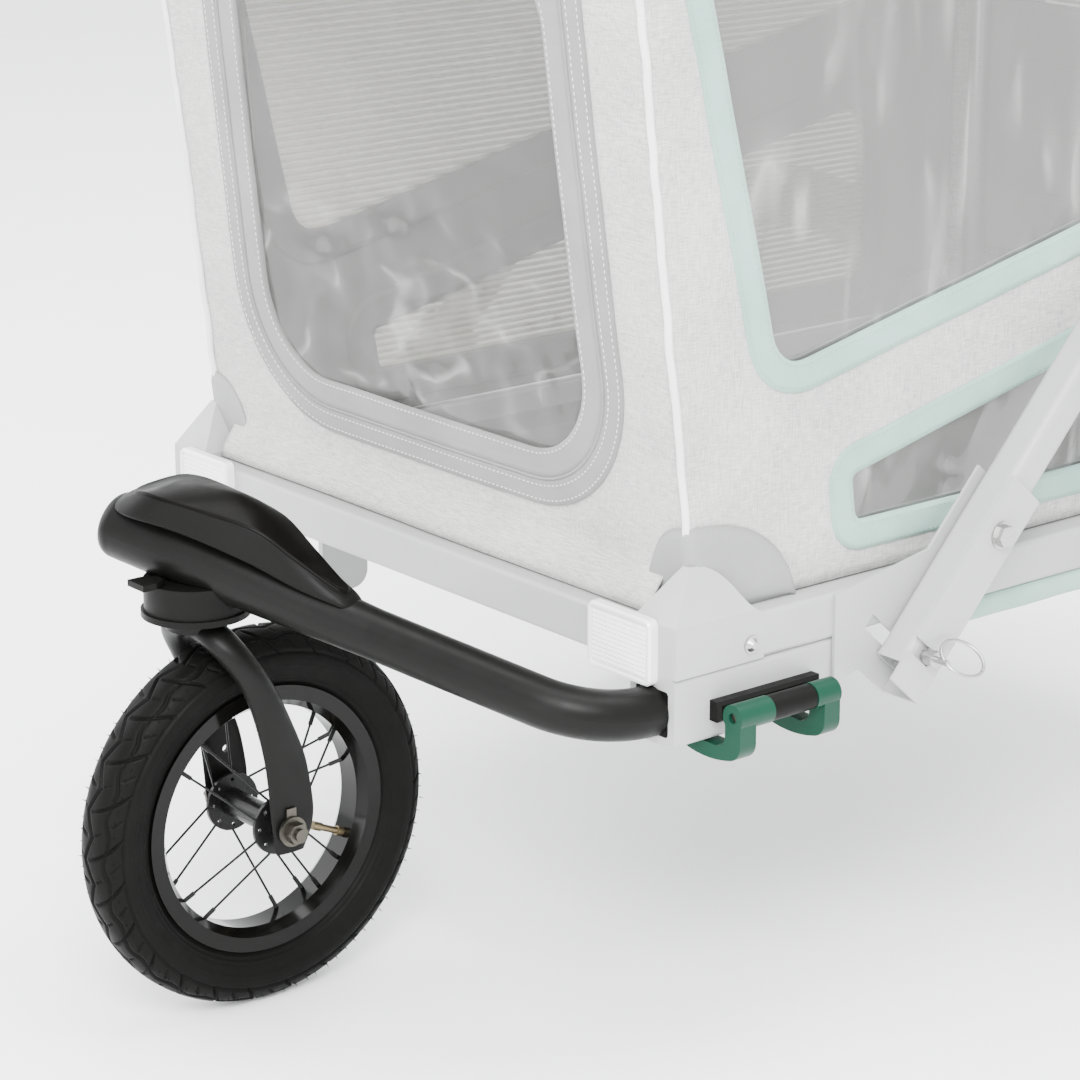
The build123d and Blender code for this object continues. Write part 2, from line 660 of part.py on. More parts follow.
def make_bar_hardware():
    stack = ((5, 0), (11, OUTER_FACE - RAIL_X), (9, OUTER_FACE - RAIL_X + 1.6))
    with BuildPart() as bolts:
        for side in SIDES:
            for (radius, start), length in zip(stack, (OUTER_FACE - RAIL_X, 1.6, 6)):
                at = PIVOT + Vector(side * (RAIL_X + start), 0, 0)
                with BuildSketch(Plane(at, z_dir=(side, 0, 0), x_dir=(0, 1, 0))):
                    if length == 6:
                        RegularPolygon(radius, 6)
                    else:
                        Circle(radius)
                extrude(amount=length)
    save(bolts, "bar_pivot_bolts")

    with BuildPart() as hub_bolts:
        for side in SIDES:
            for radius, start, length in ((PIN_R, 336, 43.5), (10, 379.5, 4)):
                at = HUB + Vector(side * start, 0, 0)
                with BuildSketch(Plane(at, z_dir=(side, 0, 0), x_dir=(0, 1, 0))):
                    Circle(radius)
                extrude(amount=length)
    save(hub_bolts, "handle_bolts")

    start = (HUB.Y, HUB.Z)
    with BuildPart() as handle:
        with BuildLine():
            FilletPolyline((HANDLE_X, *start), (HANDLE_X, GRIP_Y, GRIP_Z), (-HANDLE_X, GRIP_Y, GRIP_Z),
                           (-HANDLE_X, *start), radius=60)
        way = Vector(0, GRIP_Y - HUB.Y, GRIP_Z - HUB.Z).normalized()
        with BuildSketch(Plane((HANDLE_X, *start), x_dir=(1, 0, 0), z_dir=way)):
            Circle(HANDLE_R)
        sweep()
        for side in (1, -1):
            with BuildSketch(Plane(HUB + Vector(side * 352.5, 0, 0), z_dir=(side, 0, 0), x_dir=(0, 1, 0))):
                Circle(25)
            extrude(amount=26.5)
        with BuildSketch(Plane(HUB + Vector(-400, 0, 0), z_dir=(1, 0, 0), x_dir=(0, 1, 0))):
            Circle(PIN_R + RUN)
        extrude(amount=800, mode=Mode.SUBTRACT)
    save(handle, "handle_bar")

    with BuildPart() as grip:
        with BuildSketch(Plane((-200, GRIP_Y, GRIP_Z), z_dir=(1, 0, 0), x_dir=(0, 1, 0))):
            Circle(HANDLE_R + 4.5)
            Circle(HANDLE_R, mode=Mode.SUBTRACT)
        extrude(amount=400)
    save(grip, "handle_grip")


# --- main wheels ---
def make_main_wheel(side):
    name = side_name(side)
    centre = (side * MAIN_X, MAIN_Y, MAIN_R)
    make_tyre(f"{name}_tyre", centre, MAIN_R, 23.5, 203, 12)
    make_rim(f"{name}_rim", centre, 15, 211, 203, 194)
    make_hub(f"{name}_hub", centre, 42, 12, 27, 34, AXLE_R + RUN, 10)
    make_spokes(f"{name}_spokes", centre, 20, 27.1, 34, 193.9, 4, 1.0, 14)


def make_wheel_mounts():
    plate = [(-50, 352), (50, 352), (50, 318), (17, MAIN_R - 6), (0, MAIN_R - 18), (-17, MAIN_R - 6), (-50, 318)]
    with BuildPart() as brackets:
        for side in SIDES:
            with BuildSketch(Plane((side * RAIL_X, 0, 0), z_dir=(side, 0, 0), x_dir=(0, side, 0))):
                with BuildLine():
                    Polyline(*[((MAIN_Y + y) * side, z) for y, z in plate], close=True)
                make_face()
            extrude(amount=6)
            with Locations(Location((side * (RAIL_X + 3), MAIN_Y, MAIN_R), (0, 90, 0))):
                Cylinder(14, 14)
                Cylinder(AXLE_R, 40, mode=Mode.SUBTRACT)
    save(brackets, "wheel_brackets")

    with BuildPart() as axles:
        for side in SIDES:
            for radius, start, length in ((AXLE_R, RAIL_X - 8, 106), (14, 438, 8)):
                at = (side * start, MAIN_Y, MAIN_R)
                with BuildSketch(Plane(at, z_dir=(side, 0, 0), x_dir=(0, 1, 0))):
                    Circle(radius)
                extrude(amount=length)
    save(axles, "main_axles")


# --- upper frame and cabin ---
def make_hoop(name, pivot, half_width, top_y, top_z):
    base_y, base_z = pivot
    with BuildPart() as hoop:
        with BuildLine():
            FilletPolyline((half_width, base_y, base_z), (half_width, top_y, top_z), (-half_width, top_y, top_z),
                           (-half_width, base_y, base_z), radius=70)
        way = Vector(0, top_y - base_y, top_z - base_z).normalized()
        with BuildSketch(Plane((half_width, base_y, base_z), x_dir=(1, 0, 0), z_dir=way)):
            arm_ring(HOOP_R, HOOP_R - 1.8)
        sweep()
        for side in (1, -1):
            with Locations(Location((side * half_width, base_y, base_z), (0, 90, 0))):
                Cylinder(HOOP_R, 2 * HOOP_R)
        with Locations(Location((0, base_y, base_z), (0, 90, 0))):
            Cylinder(PIN_R + RUN, 2 * half_width + 60, mode=Mode.SUBTRACT)
    save(hoop, name)


def make_hoop_pins():
    with BuildPart() as pins:
        for (y, z), half_width in ((FRONT_PIVOT, FRONT_HOOP_X), (REAR_PIVOT, REAR_HOOP_X)):
            inner = half_width - HOOP_R - 3
            for side in (1, -1):
                with BuildSketch(Plane((side * inner, y, z), z_dir=(side, 0, 0), x_dir=(0, 1, 0))):
                    Circle(PIN_R)
                extrude(amount=CORNER_IN - inner)
    save(pins, "hoop_pins")


def face_y(z):
    return FACE_Y - FACE_LEAN * (z - FACE_Z)


DOOR_X, DOOR_LOW, DOOR_HIGH = 225.0, 442.0, 871.0
HINGE_Z = 872.0
FACE_NORMAL = Vector(0, -1, -FACE_LEAN).normalized()


def face_plane():
    """Plane of the leaning front face, its own Y running up the face."""
    return Plane((0, face_y(0), 0), x_dir=(1, 0, 0), z_dir=FACE_NORMAL)


def up_face(z):
    return z * math.sqrt(1 + FACE_LEAN**2)


def panel_outline(half_width):
    """End panel with its lower corners notched round the corner mouldings."""
    inset = CORNER_IN - 2
    notch = CORNER_TOP + 2
    return [(-inset, SKIN_Z0), (inset, SKIN_Z0), (inset, notch), (half_width, notch), (half_width, SKIN_Z1),
            (-half_width, SKIN_Z1), (-half_width, notch), (-inset, notch)]


def make_panels():
    inner_x = SKIN_X - SKIN - 1
    with BuildPart() as front:
        with BuildSketch(face_plane()):
            with BuildLine():
                Polyline(*[(x, up_face(z)) for x, z in panel_outline(inner_x)], close=True)
            make_face()
            height, middle = span(up_face(DOOR_LOW - 5), up_face(DOOR_HIGH + 7))
            with Locations((0, middle)):
                RectangleRounded(2 * DOOR_X + 10, height, 60, mode=Mode.SUBTRACT)
        extrude(amount=-SKIN)
    save(front, "front_panel")

    with BuildPart() as door:
        with BuildSketch(face_plane().offset(-1)):
            height, middle = span(up_face(DOOR_LOW), up_face(DOOR_HIGH))
            with Locations((0, middle)):
                RectangleRounded(2 * DOOR_X, height, 56)
        extrude(amount=-(SKIN - 2))
        with Locations(Location((0, face_y(HINGE_Z), HINGE_Z), (0, 90, 0))):
            Cylinder(2.4, 2 * (DOOR_X - 62))
    save(door, "front_door")

    with BuildPart() as rear:
        with BuildSketch(Plane((0, REAR_SKIN_Y, 0), x_dir=(-1, 0, 0), z_dir=(0, 1, 0))):
            with BuildLine():
                Polyline(*panel_outline(inner_x), close=True)
            make_face()
        extrude(amount=-SKIN)
    save(rear, "rear_panel")

    notch = CORNER_TOP + 2
    front_foot, rear_foot = FRONT_Y + CORNER_L + 4, REAR_Y - CORNER_L - 4
    outline = [(front_foot, SKIN_Z0), (rear_foot, SKIN_Z0), (rear_foot, notch), (REAR_SKIN_Y, notch),
               (REAR_SKIN_Y, SKIN_Z1), (face_y(SKIN_Z1), SKIN_Z1), (face_y(notch), notch), (front_foot, notch)]
    with BuildPart() as panels:
        for side in SIDES:
            with BuildSketch(Plane((side * SKIN_X, 0, 0), x_dir=(0, side, 0), z_dir=(side, 0, 0))):
                with BuildLine():
                    Polyline(*[(y * side, z) for y, z in outline], close=True)
                make_face()
            extrude(amount=-SKIN)
    save(panels, "side_panels")

    length, middle = span(face_y(SKIN_Z1) - 3, REAR_SKIN_Y + 5)
    with BuildPart() as roof:
        with Locations((0, middle, SKIN_Z1 + 1 + SKIN / 2)):
            Box(2 * SKIN_X, length, SKIN)
        fillet(roof.edges().filter_by(Axis.Z), 25)
    save(roof, "roof_panel")

    with BuildPart() as back:
        with Locations((0, REAR_PIVOT[0], 560)):
            Box(2 * (REAR_HOOP_X - HOOP_R - 4), 6, 256)
        fillet(back.edges().filter_by(Axis.Y), 20)
    save(back, "seat_back")




def make_flag_socket():
    with BuildPart() as socket:
        with Locations((FLAG_X, FLAG_Y, 350)):
            Cylinder(9, 60)
        with Locations((RAIL_X + 2.5, FLAG_Y, 350)):
            Box(5, 30, 44)
        with Locations((FLAG_X, FLAG_Y, 353)):
            Cylinder(FLAG_R, 54.01, mode=Mode.SUBTRACT)
    save(socket, "flag_socket")


make_rails()
make_beams()
make_corners("front_corners", -1)
make_corners("rear_corners", 1)
make_receiver()
make_floor()
make_skirts()
make_reflectors("front_reflectors", -1)
make_reflectors("rear_reflectors", 1)
make_rest_foot()
make_frame_bolts()
make_flag_socket()
make_stroller_wheel()
make_fork()
make_arm()
make_cover()
make_clamp()
make_brackets()
make_push_bars()
make_bar_hardware()
make_wheel_mounts()
make_hoop("front_hoop", FRONT_PIVOT, FRONT_HOOP_X, -330, HOOP_TOP)
make_hoop("rear_hoop", REAR_PIVOT, REAR_HOOP_X, REAR_PIVOT[0], HOOP_TOP - 8)
make_hoop_pins()
make_panels()
for way in SIDES:
    make_ring_pin(way)
    make_main_wheel(way)
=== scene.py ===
import math
import random

import bmesh
import bpy
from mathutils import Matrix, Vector, noise


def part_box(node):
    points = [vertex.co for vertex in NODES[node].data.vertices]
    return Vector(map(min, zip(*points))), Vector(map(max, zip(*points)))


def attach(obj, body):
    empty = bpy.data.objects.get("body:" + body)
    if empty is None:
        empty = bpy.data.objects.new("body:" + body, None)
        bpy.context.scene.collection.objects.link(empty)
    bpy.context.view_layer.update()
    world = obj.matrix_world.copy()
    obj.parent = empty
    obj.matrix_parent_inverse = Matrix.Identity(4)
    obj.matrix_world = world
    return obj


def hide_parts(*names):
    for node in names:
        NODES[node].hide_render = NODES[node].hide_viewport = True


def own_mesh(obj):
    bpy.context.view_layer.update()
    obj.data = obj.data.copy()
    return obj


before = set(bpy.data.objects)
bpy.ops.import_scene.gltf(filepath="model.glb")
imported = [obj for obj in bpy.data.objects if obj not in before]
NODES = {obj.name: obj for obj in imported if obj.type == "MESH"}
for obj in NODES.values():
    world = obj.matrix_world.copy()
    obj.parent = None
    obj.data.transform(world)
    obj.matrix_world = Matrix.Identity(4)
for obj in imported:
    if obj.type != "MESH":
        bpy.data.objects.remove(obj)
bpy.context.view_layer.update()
random.seed(7)

# --- places taken from the frame, in metres ---
SIDE_LOW, SIDE_HIGH = (Vector(c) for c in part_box("side_panels"))
SIDE_X = SIDE_HIGH.x
ROOF_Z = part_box("roof_panel")[1][2]
REAR_Y = SIDE_HIGH.y
RAIL_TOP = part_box("side_rails")[1][2]
FRAME_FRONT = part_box("end_beams")[0][1]

# the leaning front face
FACE_Y0, FACE_Z0, FACE_LEAN = -0.319, 0.412, 0.124


def face_y(z):
    return FACE_Y0 - FACE_LEAN * (z - FACE_Z0)


# --- camera, lights and floor ---
CAMERA_AT = (2.1132, -1.9297, 1.1580)
CAMERA_AZIMUTH, CAMERA_ELEVATION = math.radians(50.83), math.radians(16.99)
CAMERA_LENS = 114.24


def add_camera():
    data = bpy.data.cameras.new("camera")
    data.lens = CAMERA_LENS
    data.sensor_width = 36
    camera = bpy.data.objects.new("camera", data)
    bpy.context.collection.objects.link(camera)
    flat = math.cos(CAMERA_ELEVATION)
    back = Vector((math.sin(CAMERA_AZIMUTH) * flat, -math.cos(CAMERA_AZIMUTH) * flat,
                   math.sin(CAMERA_ELEVATION)))
    camera.location = CAMERA_AT
    camera.rotation_euler = back.to_track_quat("Z", "Y").to_euler()
    bpy.context.scene.camera = camera


def add_light(name, at, target, size, power):
    data = bpy.data.lights.new(name, "AREA")
    data.shape = "DISK"
    data.size = size
    data.energy = power
    light = bpy.data.objects.new(name, data)
    bpy.context.collection.objects.link(light)
    light.location = at
    light.rotation_euler = (Vector(at) - Vector(target)).to_track_quat("Z", "Y").to_euler()


# --- materials ---
def shader(name, color, roughness, metallic=0.0, **sockets):
    material = bpy.data.materials.new(name)
    material.use_nodes = True
    tree = material.node_tree
    surface = tree.nodes["Principled BSDF"]
    surface.inputs["Base Color"].default_value = (*color, 1)
    surface.inputs["Roughness"].default_value = roughness
    surface.inputs["Metallic"].default_value = metallic
    for key, value in sockets.items():
        surface.inputs[key.replace("_", " ")].default_value = value
    return material, tree, surface


def object_coords(tree, scale):
    place = tree.nodes.new("ShaderNodeTexCoord")
    mapping = tree.nodes.new("ShaderNodeMapping")
    mapping.inputs["Scale"].default_value = scale
    tree.links.new(place.outputs["Object"], mapping.inputs["Vector"])
    return mapping.outputs["Vector"]


def noise_value(tree, vector, scale, detail=3.0):
    texture = tree.nodes.new("ShaderNodeTexNoise")
    texture.inputs["Scale"].default_value = scale
    texture.inputs["Detail"].default_value = detail
    tree.links.new(vector, texture.inputs["Vector"])
    return texture.outputs["Fac"]


def ramp(tree, value, stops):
    """Colour ramp; a stop is (place, colour) or (place, grey)."""
    node = tree.nodes.new("ShaderNodeValToRGB")
    elements = node.color_ramp.elements
    while len(elements) < len(stops):
        elements.new(0.5)
    for element, (position, color) in zip(elements, stops):
        element.position = position
        element.color = (*color, 1) if isinstance(color, tuple) else (color, color, color, 1)
    tree.links.new(value, node.inputs["Fac"])
    return node.outputs["Color"]


def add_bump(tree, surface, height, strength, distance):
    bump = tree.nodes.new("ShaderNodeBump")
    bump.inputs["Strength"].default_value = strength
    bump.inputs["Distance"].default_value = distance
    tree.links.new(height, bump.inputs["Height"])
    before = surface.inputs["Normal"].links
    if before:
        tree.links.new(before[0].from_socket, bump.inputs["Normal"])
    tree.links.new(bump.outputs["Normal"], surface.inputs["Normal"])


def math_node(tree, operation, first, second):
    node = tree.nodes.new("ShaderNodeMath")
    node.operation = operation
    for index, value in enumerate((first, second)):
        if isinstance(value, (int, float)):
            node.inputs[index].default_value = value
        else:
            tree.links.new(value, node.inputs[index])
    return node.outputs[0]


def wave(tree, vector, scale, direction):
    texture = tree.nodes.new("ShaderNodeTexWave")
    texture.bands_direction = direction
    texture.inputs["Scale"].default_value = scale
    tree.links.new(vector, texture.inputs["Vector"])
    return texture.outputs["Fac"]


def grained(name, color, roughness, grain=700, depth=0.0002, strength=0.35, spread=0.12, metallic=0.0,
            **sockets):
    """Moulded plastic or paint: slight colour drift, uneven gloss and a fine surface grain."""
    material, tree, surface = shader(name, color, roughness, metallic, **sockets)
    vector = object_coords(tree, (1, 1, 1))
    drift = noise_value(tree, vector, 9, 4)
    dark = tuple(c * (1 - spread) for c in color)
    light = tuple(min(1, c * (1 + spread)) for c in color)
    tree.links.new(ramp(tree, drift, [(0.3, dark), (0.7, light)]), surface.inputs["Base Color"])
    rough = noise_value(tree, vector, 60, 5)
    low, high = roughness * 0.85, min(1, roughness * 1.18)
    tree.links.new(ramp(tree, rough, [(0.3, low), (0.7, high)]), surface.inputs["Roughness"])
    add_bump(tree, surface, noise_value(tree, vector, grain, 2), strength, depth)
    return material


def woven(name, light, dark, thread=900, roughness=0.9, bump=0.5, heather=1.0):
    """Heather cloth: streaks of paler and darker fibres on a plain weave."""
    material, tree, surface = shader(name, light, roughness)
    surface.inputs["Sheen Weight"].default_value = 0.25
    surface.inputs["Sheen Roughness"].default_value = 0.6
    plain = object_coords(tree, (1, 1, 1))
    along = noise_value(tree, object_coords(tree, (60, 60, 900)), 1.6, 4)
    across = noise_value(tree, object_coords(tree, (900, 900, 60)), 1.6, 4)
    streaks = math_node(tree, "MULTIPLY", math_node(tree, "ADD", along, across), 0.5)
    patches = noise_value(tree, plain, 14, 3)
    mixed = math_node(tree, "ADD", math_node(tree, "MULTIPLY", streaks, 0.85 * heather),
                      math_node(tree, "MULTIPLY", patches, 1 - 0.85 * heather))
    color = ramp(tree, mixed, [(0.36, dark), (0.5, tuple((a + b) / 2 for a, b in zip(light, dark))),
                                       (0.62, light)])
    tree.links.new(color, surface.inputs["Base Color"])
    warp = wave(tree, plain, thread / 3, "Z")
    weft = wave(tree, plain, thread / 3, "Y")
    weft_x = wave(tree, plain, thread / 3, "X")
    weave = math_node(tree, "ADD", warp, math_node(tree, "ADD", weft, weft_x))
    add_bump(tree, surface, weave, bump, 0.0003)
    add_bump(tree, surface, streaks, bump * 0.8, 0.0004)
    add_bump(tree, surface, patches, 0.3, 0.004)
    return material


def clear_film(name, tint, alpha, low, high, size, painted_glint_opacity):
    """Pliable clear window film: faint haze, and painted highlights along its creases between two heights, drawn as
    a paler colour and more opacity on the crease lines.
    """
    material, tree, surface = shader(name, tint, 0.08)
    surface.inputs["Coat Weight"].default_value = 1.0
    surface.inputs["Coat Roughness"].default_value = 0.03
    vector = object_coords(tree, (1, 1, 1))
    long_creases = noise_value(tree, object_coords(tree, size), 1.0, 1)
    finer = tuple(2.6 * k for k in size)
    short_creases = noise_value(tree, object_coords(tree, finer), 1.0, 1)
    haze = noise_value(tree, vector, 6, 4)
    # painted highlights: crease lines, strongest between the two heights, get a paler colour and more opacity
    ridge = ramp(tree, long_creases, [(0.45, 0.0), (0.495, 1.0), (0.51, 0.3), (0.56, 0.0)])
    broken = ramp(tree, short_creases, [(0.46, 0.0), (0.62, 1.0)])
    painted_glints = math_node(tree, "MULTIPLY", ridge, broken)
    split = tree.nodes.new("ShaderNodeSeparateXYZ")
    tree.links.new(vector, split.inputs["Vector"])
    above = math_node(tree, "SUBTRACT", split.outputs["Z"], low)
    height = math_node(tree, "DIVIDE", above, high - low)
    fade = ramp(tree, height, [(0.0, 0.2), (0.25, 1.0), (0.7, 0.7), (1.0, 0.06)])
    painted_glints = math_node(tree, "MULTIPLY", painted_glints, fade)
    # paler tint of the painted crease highlights
    painted_highlight_color = tuple(min(1, c * 1.9) for c in tint)
    dim = tuple(c * 0.9 for c in tint)
    drift = ramp(tree, haze, [(0.3, dim), (0.7, tint)])
    mix = tree.nodes.new("ShaderNodeMix")
    mix.data_type = "RGBA"
    tree.links.new(painted_glints, mix.inputs["Factor"])
    color_in = [i for i in mix.inputs if i.type == "RGBA"]
    color_out = [o for o in mix.outputs if o.type == "RGBA"]
    tree.links.new(drift, color_in[0])
    color_in[1].default_value = (*painted_highlight_color, 1)
    tree.links.new(color_out[0], surface.inputs["Base Color"])
    tree.links.new(math_node(tree, "ADD", math_node(tree, "MULTIPLY", painted_glints, painted_glint_opacity), alpha),
              surface.inputs["Alpha"])
    add_bump(tree, surface, long_creases, 0.6, 0.02)
    add_bump(tree, surface, short_creases, 0.3, 0.008)
    return material


def ribbed_mesh(name, color, gap, pitch):
    """Fly mesh with fine level ribs that let some light through."""
    material, tree, surface = shader(name, color, 0.8)
    vector = object_coords(tree, (1, 1, 1))
    ribs = wave(tree, vector, 2 * math.pi / pitch / 20, "Z")
    tree.links.new(ramp(tree, ribs, [(0.25, gap), (0.6, color)]), surface.inputs["Base Color"])
    clear = ramp(tree, ribs, [(0.2, 0.72), (0.5, 1.0)])
    tree.links.new(clear, surface.inputs["Alpha"])
    add_bump(tree, surface, ribs, 0.6, 0.0008)
    return material


def brushed(name, color, roughness, metallic=1.0):
    material, tree, surface = shader(name, color, roughness, metallic)
    vector = object_coords(tree, (40, 40, 600))
    lines = noise_value(tree, vector, 3, 5)
    tree.links.new(ramp(tree, lines, [(0.3, tuple(c * 0.8 for c in color)), (0.7, color)]),
              surface.inputs["Base Color"])
    tree.links.new(ramp(tree, lines, [(0.3, roughness * 0.8), (0.7, roughness * 1.3)]),
              surface.inputs["Roughness"])
    add_bump(tree, surface, lines, 0.2, 0.0002)
    return material


FABRIC = woven("heather_fabric", (0.56, 0.565, 0.54), (0.235, 0.241, 0.231))
BORDER = woven("grey_border", (0.185, 0.19, 0.183), (0.145, 0.149, 0.144), heather=0.3)
MINT = woven("mint_webbing", (0.26, 0.42, 0.365), (0.20, 0.345, 0.295), heather=0.3)
PATCH = grained("corner_patch_skin", (0.24, 0.244, 0.24), 0.6, grain=500)
PIPING = woven("silver_piping", (0.86, 0.865, 0.855), (0.76, 0.765, 0.76), thread=1500, heather=0.2)
LINER = woven("cabin_liner", (0.105, 0.107, 0.103), (0.08, 0.081, 0.078), bump=0.12, heather=0.5)
SEAT = woven("seat_cloth", (0.20, 0.205, 0.20), (0.14, 0.145, 0.14), heather=0.6)
THREAD = grained("sewing_thread", (0.62, 0.63, 0.62), 0.8)
# the last number is the opacity added by the painted crease highlights
FILM = clear_film("window_film", (0.21, 0.213, 0.205), 0.5, 0.3, 0.95, (13, 13, 3), 0.13)
DOOR_FILM = clear_film("door_film", (0.21, 0.213, 0.205), 0.26, 0.43, 0.64, (9, 9, 13), 0.22)
MESH = ribbed_mesh("ribbed_mesh", (0.48, 0.46, 0.40), (0.25, 0.235, 0.19), 0.0062)
PAINT = grained("frame_paint", (0.33, 0.335, 0.33), 0.38, grain=1100, depth=0.0001, strength=0.2, spread=0.04)
SHELL = grained("frame_plastic", (0.34, 0.345, 0.34), 0.5, grain=900, strength=0.3, spread=0.04)
BOARD = grained("floor_board", (0.22, 0.225, 0.22), 0.7)
POWDER = grained("black_powder_coat", (0.0036, 0.0038, 0.0034), 0.36, grain=1600, depth=0.0002,
                 strength=0.5, Specular_IOR_Level=0.09)
PLASTIC = grained("black_plastic", (0.0035, 0.0035, 0.0033), 0.42, grain=1500, depth=0.0002,
                  strength=0.4, Specular_IOR_Level=0.06)
GLOSSY = grained("cover_panel", (0.0016, 0.0014, 0.0012), 0.36, grain=1300, depth=0.0001,
                 strength=0.2, Specular_IOR_Level=0.05)
GREEN = grained("green_plastic", (0.002, 0.030, 0.017), 0.34, grain=1300, depth=0.0001,
                strength=0.25, Specular_IOR_Level=0.15)
FOAM = grained("foam_grip", (0.012, 0.012, 0.012), 0.85, grain=500, depth=0.0006, strength=0.8)
RUBBER = grained("tyre_rubber", (0.003, 0.003, 0.0028), 0.5, grain=600, depth=0.0003,
                 strength=0.4, spread=0.2, Specular_IOR_Level=0.045)
RIM = grained("gloss_black_rim", (0.002, 0.002, 0.0018), 0.12, grain=60, depth=0.0006,
              strength=0.06, Specular_IOR_Level=0.13)
HUB = grained("hub_black", (0.004, 0.004, 0.004), 0.28, grain=300, Specular_IOR_Level=0.15)
WIRE = grained("black_spoke", (0.006, 0.006, 0.006), 0.35, grain=300, Specular_IOR_Level=0.15)
ZINC = brushed("zinc_plate", (0.085, 0.08, 0.068), 0.42)
PALE_STEEL = brushed("pale_steel", (0.42, 0.42, 0.415), 0.3)
ALLOY = brushed("satin_alloy", (0.40, 0.405, 0.40), 0.34)
BRASS = brushed("dull_brass", (0.20, 0.16, 0.095), 0.4)
CLEAR_LENS = grained("clear_prism", (0.78, 0.785, 0.775), 0.12, grain=200, Coat_Weight=1.0)
RED_LENS = grained("red_prism", (0.45, 0.015, 0.012), 0.12, grain=200, Coat_Weight=1.0)

NODE_MATERIALS = {
    PAINT: ["side_rails", "end_beams", "cross_tubes", "arm_receiver", "bar_brackets", "wheel_brackets", "push_bars",
            "rest_foot"],
    SHELL: ["front_corners", "rear_corners", "handle_hubs", "flag_socket"],
    BOARD: ["floor_board"],
    PALE_STEEL: ["frame_bolts", "bar_pivot_bolts", "hoop_pins", "main_axles", "left_ring_pin", "right_ring_pin",
                 "handle_bolts", "left_spokes", "right_spokes"],
    ZINC: ["clamp_rod", "stroller_axle", "axle_nuts", "axle_washers"],
    PLASTIC: ["clamp_plate", "swivel_housing", "arm_plug", "swivel_lock"],
    GREEN: ["clamp_lever"],
    POWDER: ["arm_tube", "fork"],
    RIM: ["stroller_rim"],
    HUB: ["stroller_hub"],
    WIRE: ["stroller_spokes"],
    ALLOY: ["left_rim", "right_rim", "left_hub", "right_hub", "front_hoop", "rear_hoop", "handle_bar"],
    BRASS: ["stroller_valve"],
}


def paint_nodes():
    for material, names in NODE_MATERIALS.items():
        for name in names:
            node = NODES[name]
            for index in range(len(node.material_slots)):
                node.material_slots[index].link = "OBJECT"
                node.material_slots[index].material = material


# --- mesh helpers ---
SIDES = ((1, "left"), (-1, "right"))


def new_piece(name, verts, faces, material, body, smooth=True):
    mesh = bpy.data.meshes.new(name)
    mesh.from_pydata([tuple(v) for v in verts], [], faces)
    mesh.validate()
    mesh.polygons.foreach_set("use_smooth", [smooth] * len(mesh.polygons))
    mesh.materials.append(material)
    piece = bpy.data.objects.new(name, mesh)
    bpy.context.collection.objects.link(piece)
    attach(piece, body)
    return piece


def tidy_normals(piece):
    shape = bmesh.new()
    shape.from_mesh(piece.data)
    bmesh.ops.recalc_face_normals(shape, faces=shape.faces)
    shape.to_mesh(piece.data)
    shape.free()
    return piece


def thicken(piece, thickness, offset=-1.0):
    modifier = piece.modifiers.new("thickness", "SOLIDIFY")
    modifier.thickness = thickness
    modifier.offset = offset
    return piece


def apply_modifiers(piece):
    graph = bpy.context.evaluated_depsgraph_get()
    mesh = bpy.data.meshes.new_from_object(piece.evaluated_get(graph))
    piece.modifiers.clear()
    piece.data = mesh
    return piece


def folds(piece):
    """Gives the cloth its own copy of its mesh data."""
    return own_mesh(piece)


def sewn(piece, thickness, offset=-1.0):
    """Cloth with a thickness, on its own copy of the mesh data."""
    thicken(piece, thickness, offset)
    apply_modifiers(piece)
    folds(piece)


def rings_to_mesh(rings, closed_around=True, closed_along=False, cap=False):
    """Verts and faces joining rings of equal length."""
    count = len(rings[0])
    verts = [v for ring in rings for v in ring]
    faces = []
    last = len(rings) if closed_along else len(rings) - 1
    around = count if closed_around else count - 1
    for i in range(last):
        for j in range(around):
            a, b = i * count + j, i * count + (j + 1) % count
            c, d = ((i + 1) % len(rings)) * count + (j + 1) % count, ((i + 1) % len(rings)) * count + j
            faces.append((a, b, c, d))
    if cap:
        faces.append(tuple(reversed(range(count))))
        faces.append(tuple(range((len(rings) - 1) * count, len(rings) * count)))
    return verts, faces


def skin(name, rings, material, body, smooth=True, **joined):
    verts, faces = rings_to_mesh(rings, **joined)
    return tidy_normals(new_piece(name, verts, faces, material, body, smooth))


def stands_for(node):
    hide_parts(node)


def tube(name, path, radius, material, body, closed=False, sides=8, flat=1.0):
    """Round tube along points; flat below 1 makes it a low bead."""
    rings = []
    count = len(path)
    up = Vector((0, 0, 1))
    for i, point in enumerate(path):
        after = path[(i + 1) % count] if closed or i + 1 < count else point
        before = path[i - 1] if closed or i > 0 else point
        way = (Vector(after) - Vector(before)).normalized()
        side = way.cross(up)
        if side.length < 0.2:
            side = way.cross(Vector((0, 1, 0)))
        side.normalize()
        over = side.cross(way).normalized()
        rings.append([Vector(point) + side * (radius * math.cos(a)) + over * (radius * flat * math.sin(a))
                      for a in (2 * math.pi * k / sides for k in range(sides))])
    return skin(name, rings, material, body, closed_along=closed, cap=not closed)


def rounded_polygon(corners, radii, steps=8):
    """Closed outline whose corners are true arcs."""
    outline = []
    count = len(corners)
    for i, radius in enumerate(radii):
        here = Vector(corners[i])
        back = (Vector(corners[i - 1]) - here).normalized()
        on = (Vector(corners[(i + 1) % count]) - here).normalized()
        half = back.angle(on) / 2
        reach = radius / math.tan(half)
        centre = here + (back + on).normalized() * (radius / math.sin(half))
        start, end = here + back * reach - centre, here + on * reach - centre
        for k in range(steps + 1):
            turned = start.slerp(end, k / steps) if radius else start
            outline.append(centre + turned.normalized() * radius)
    return outline


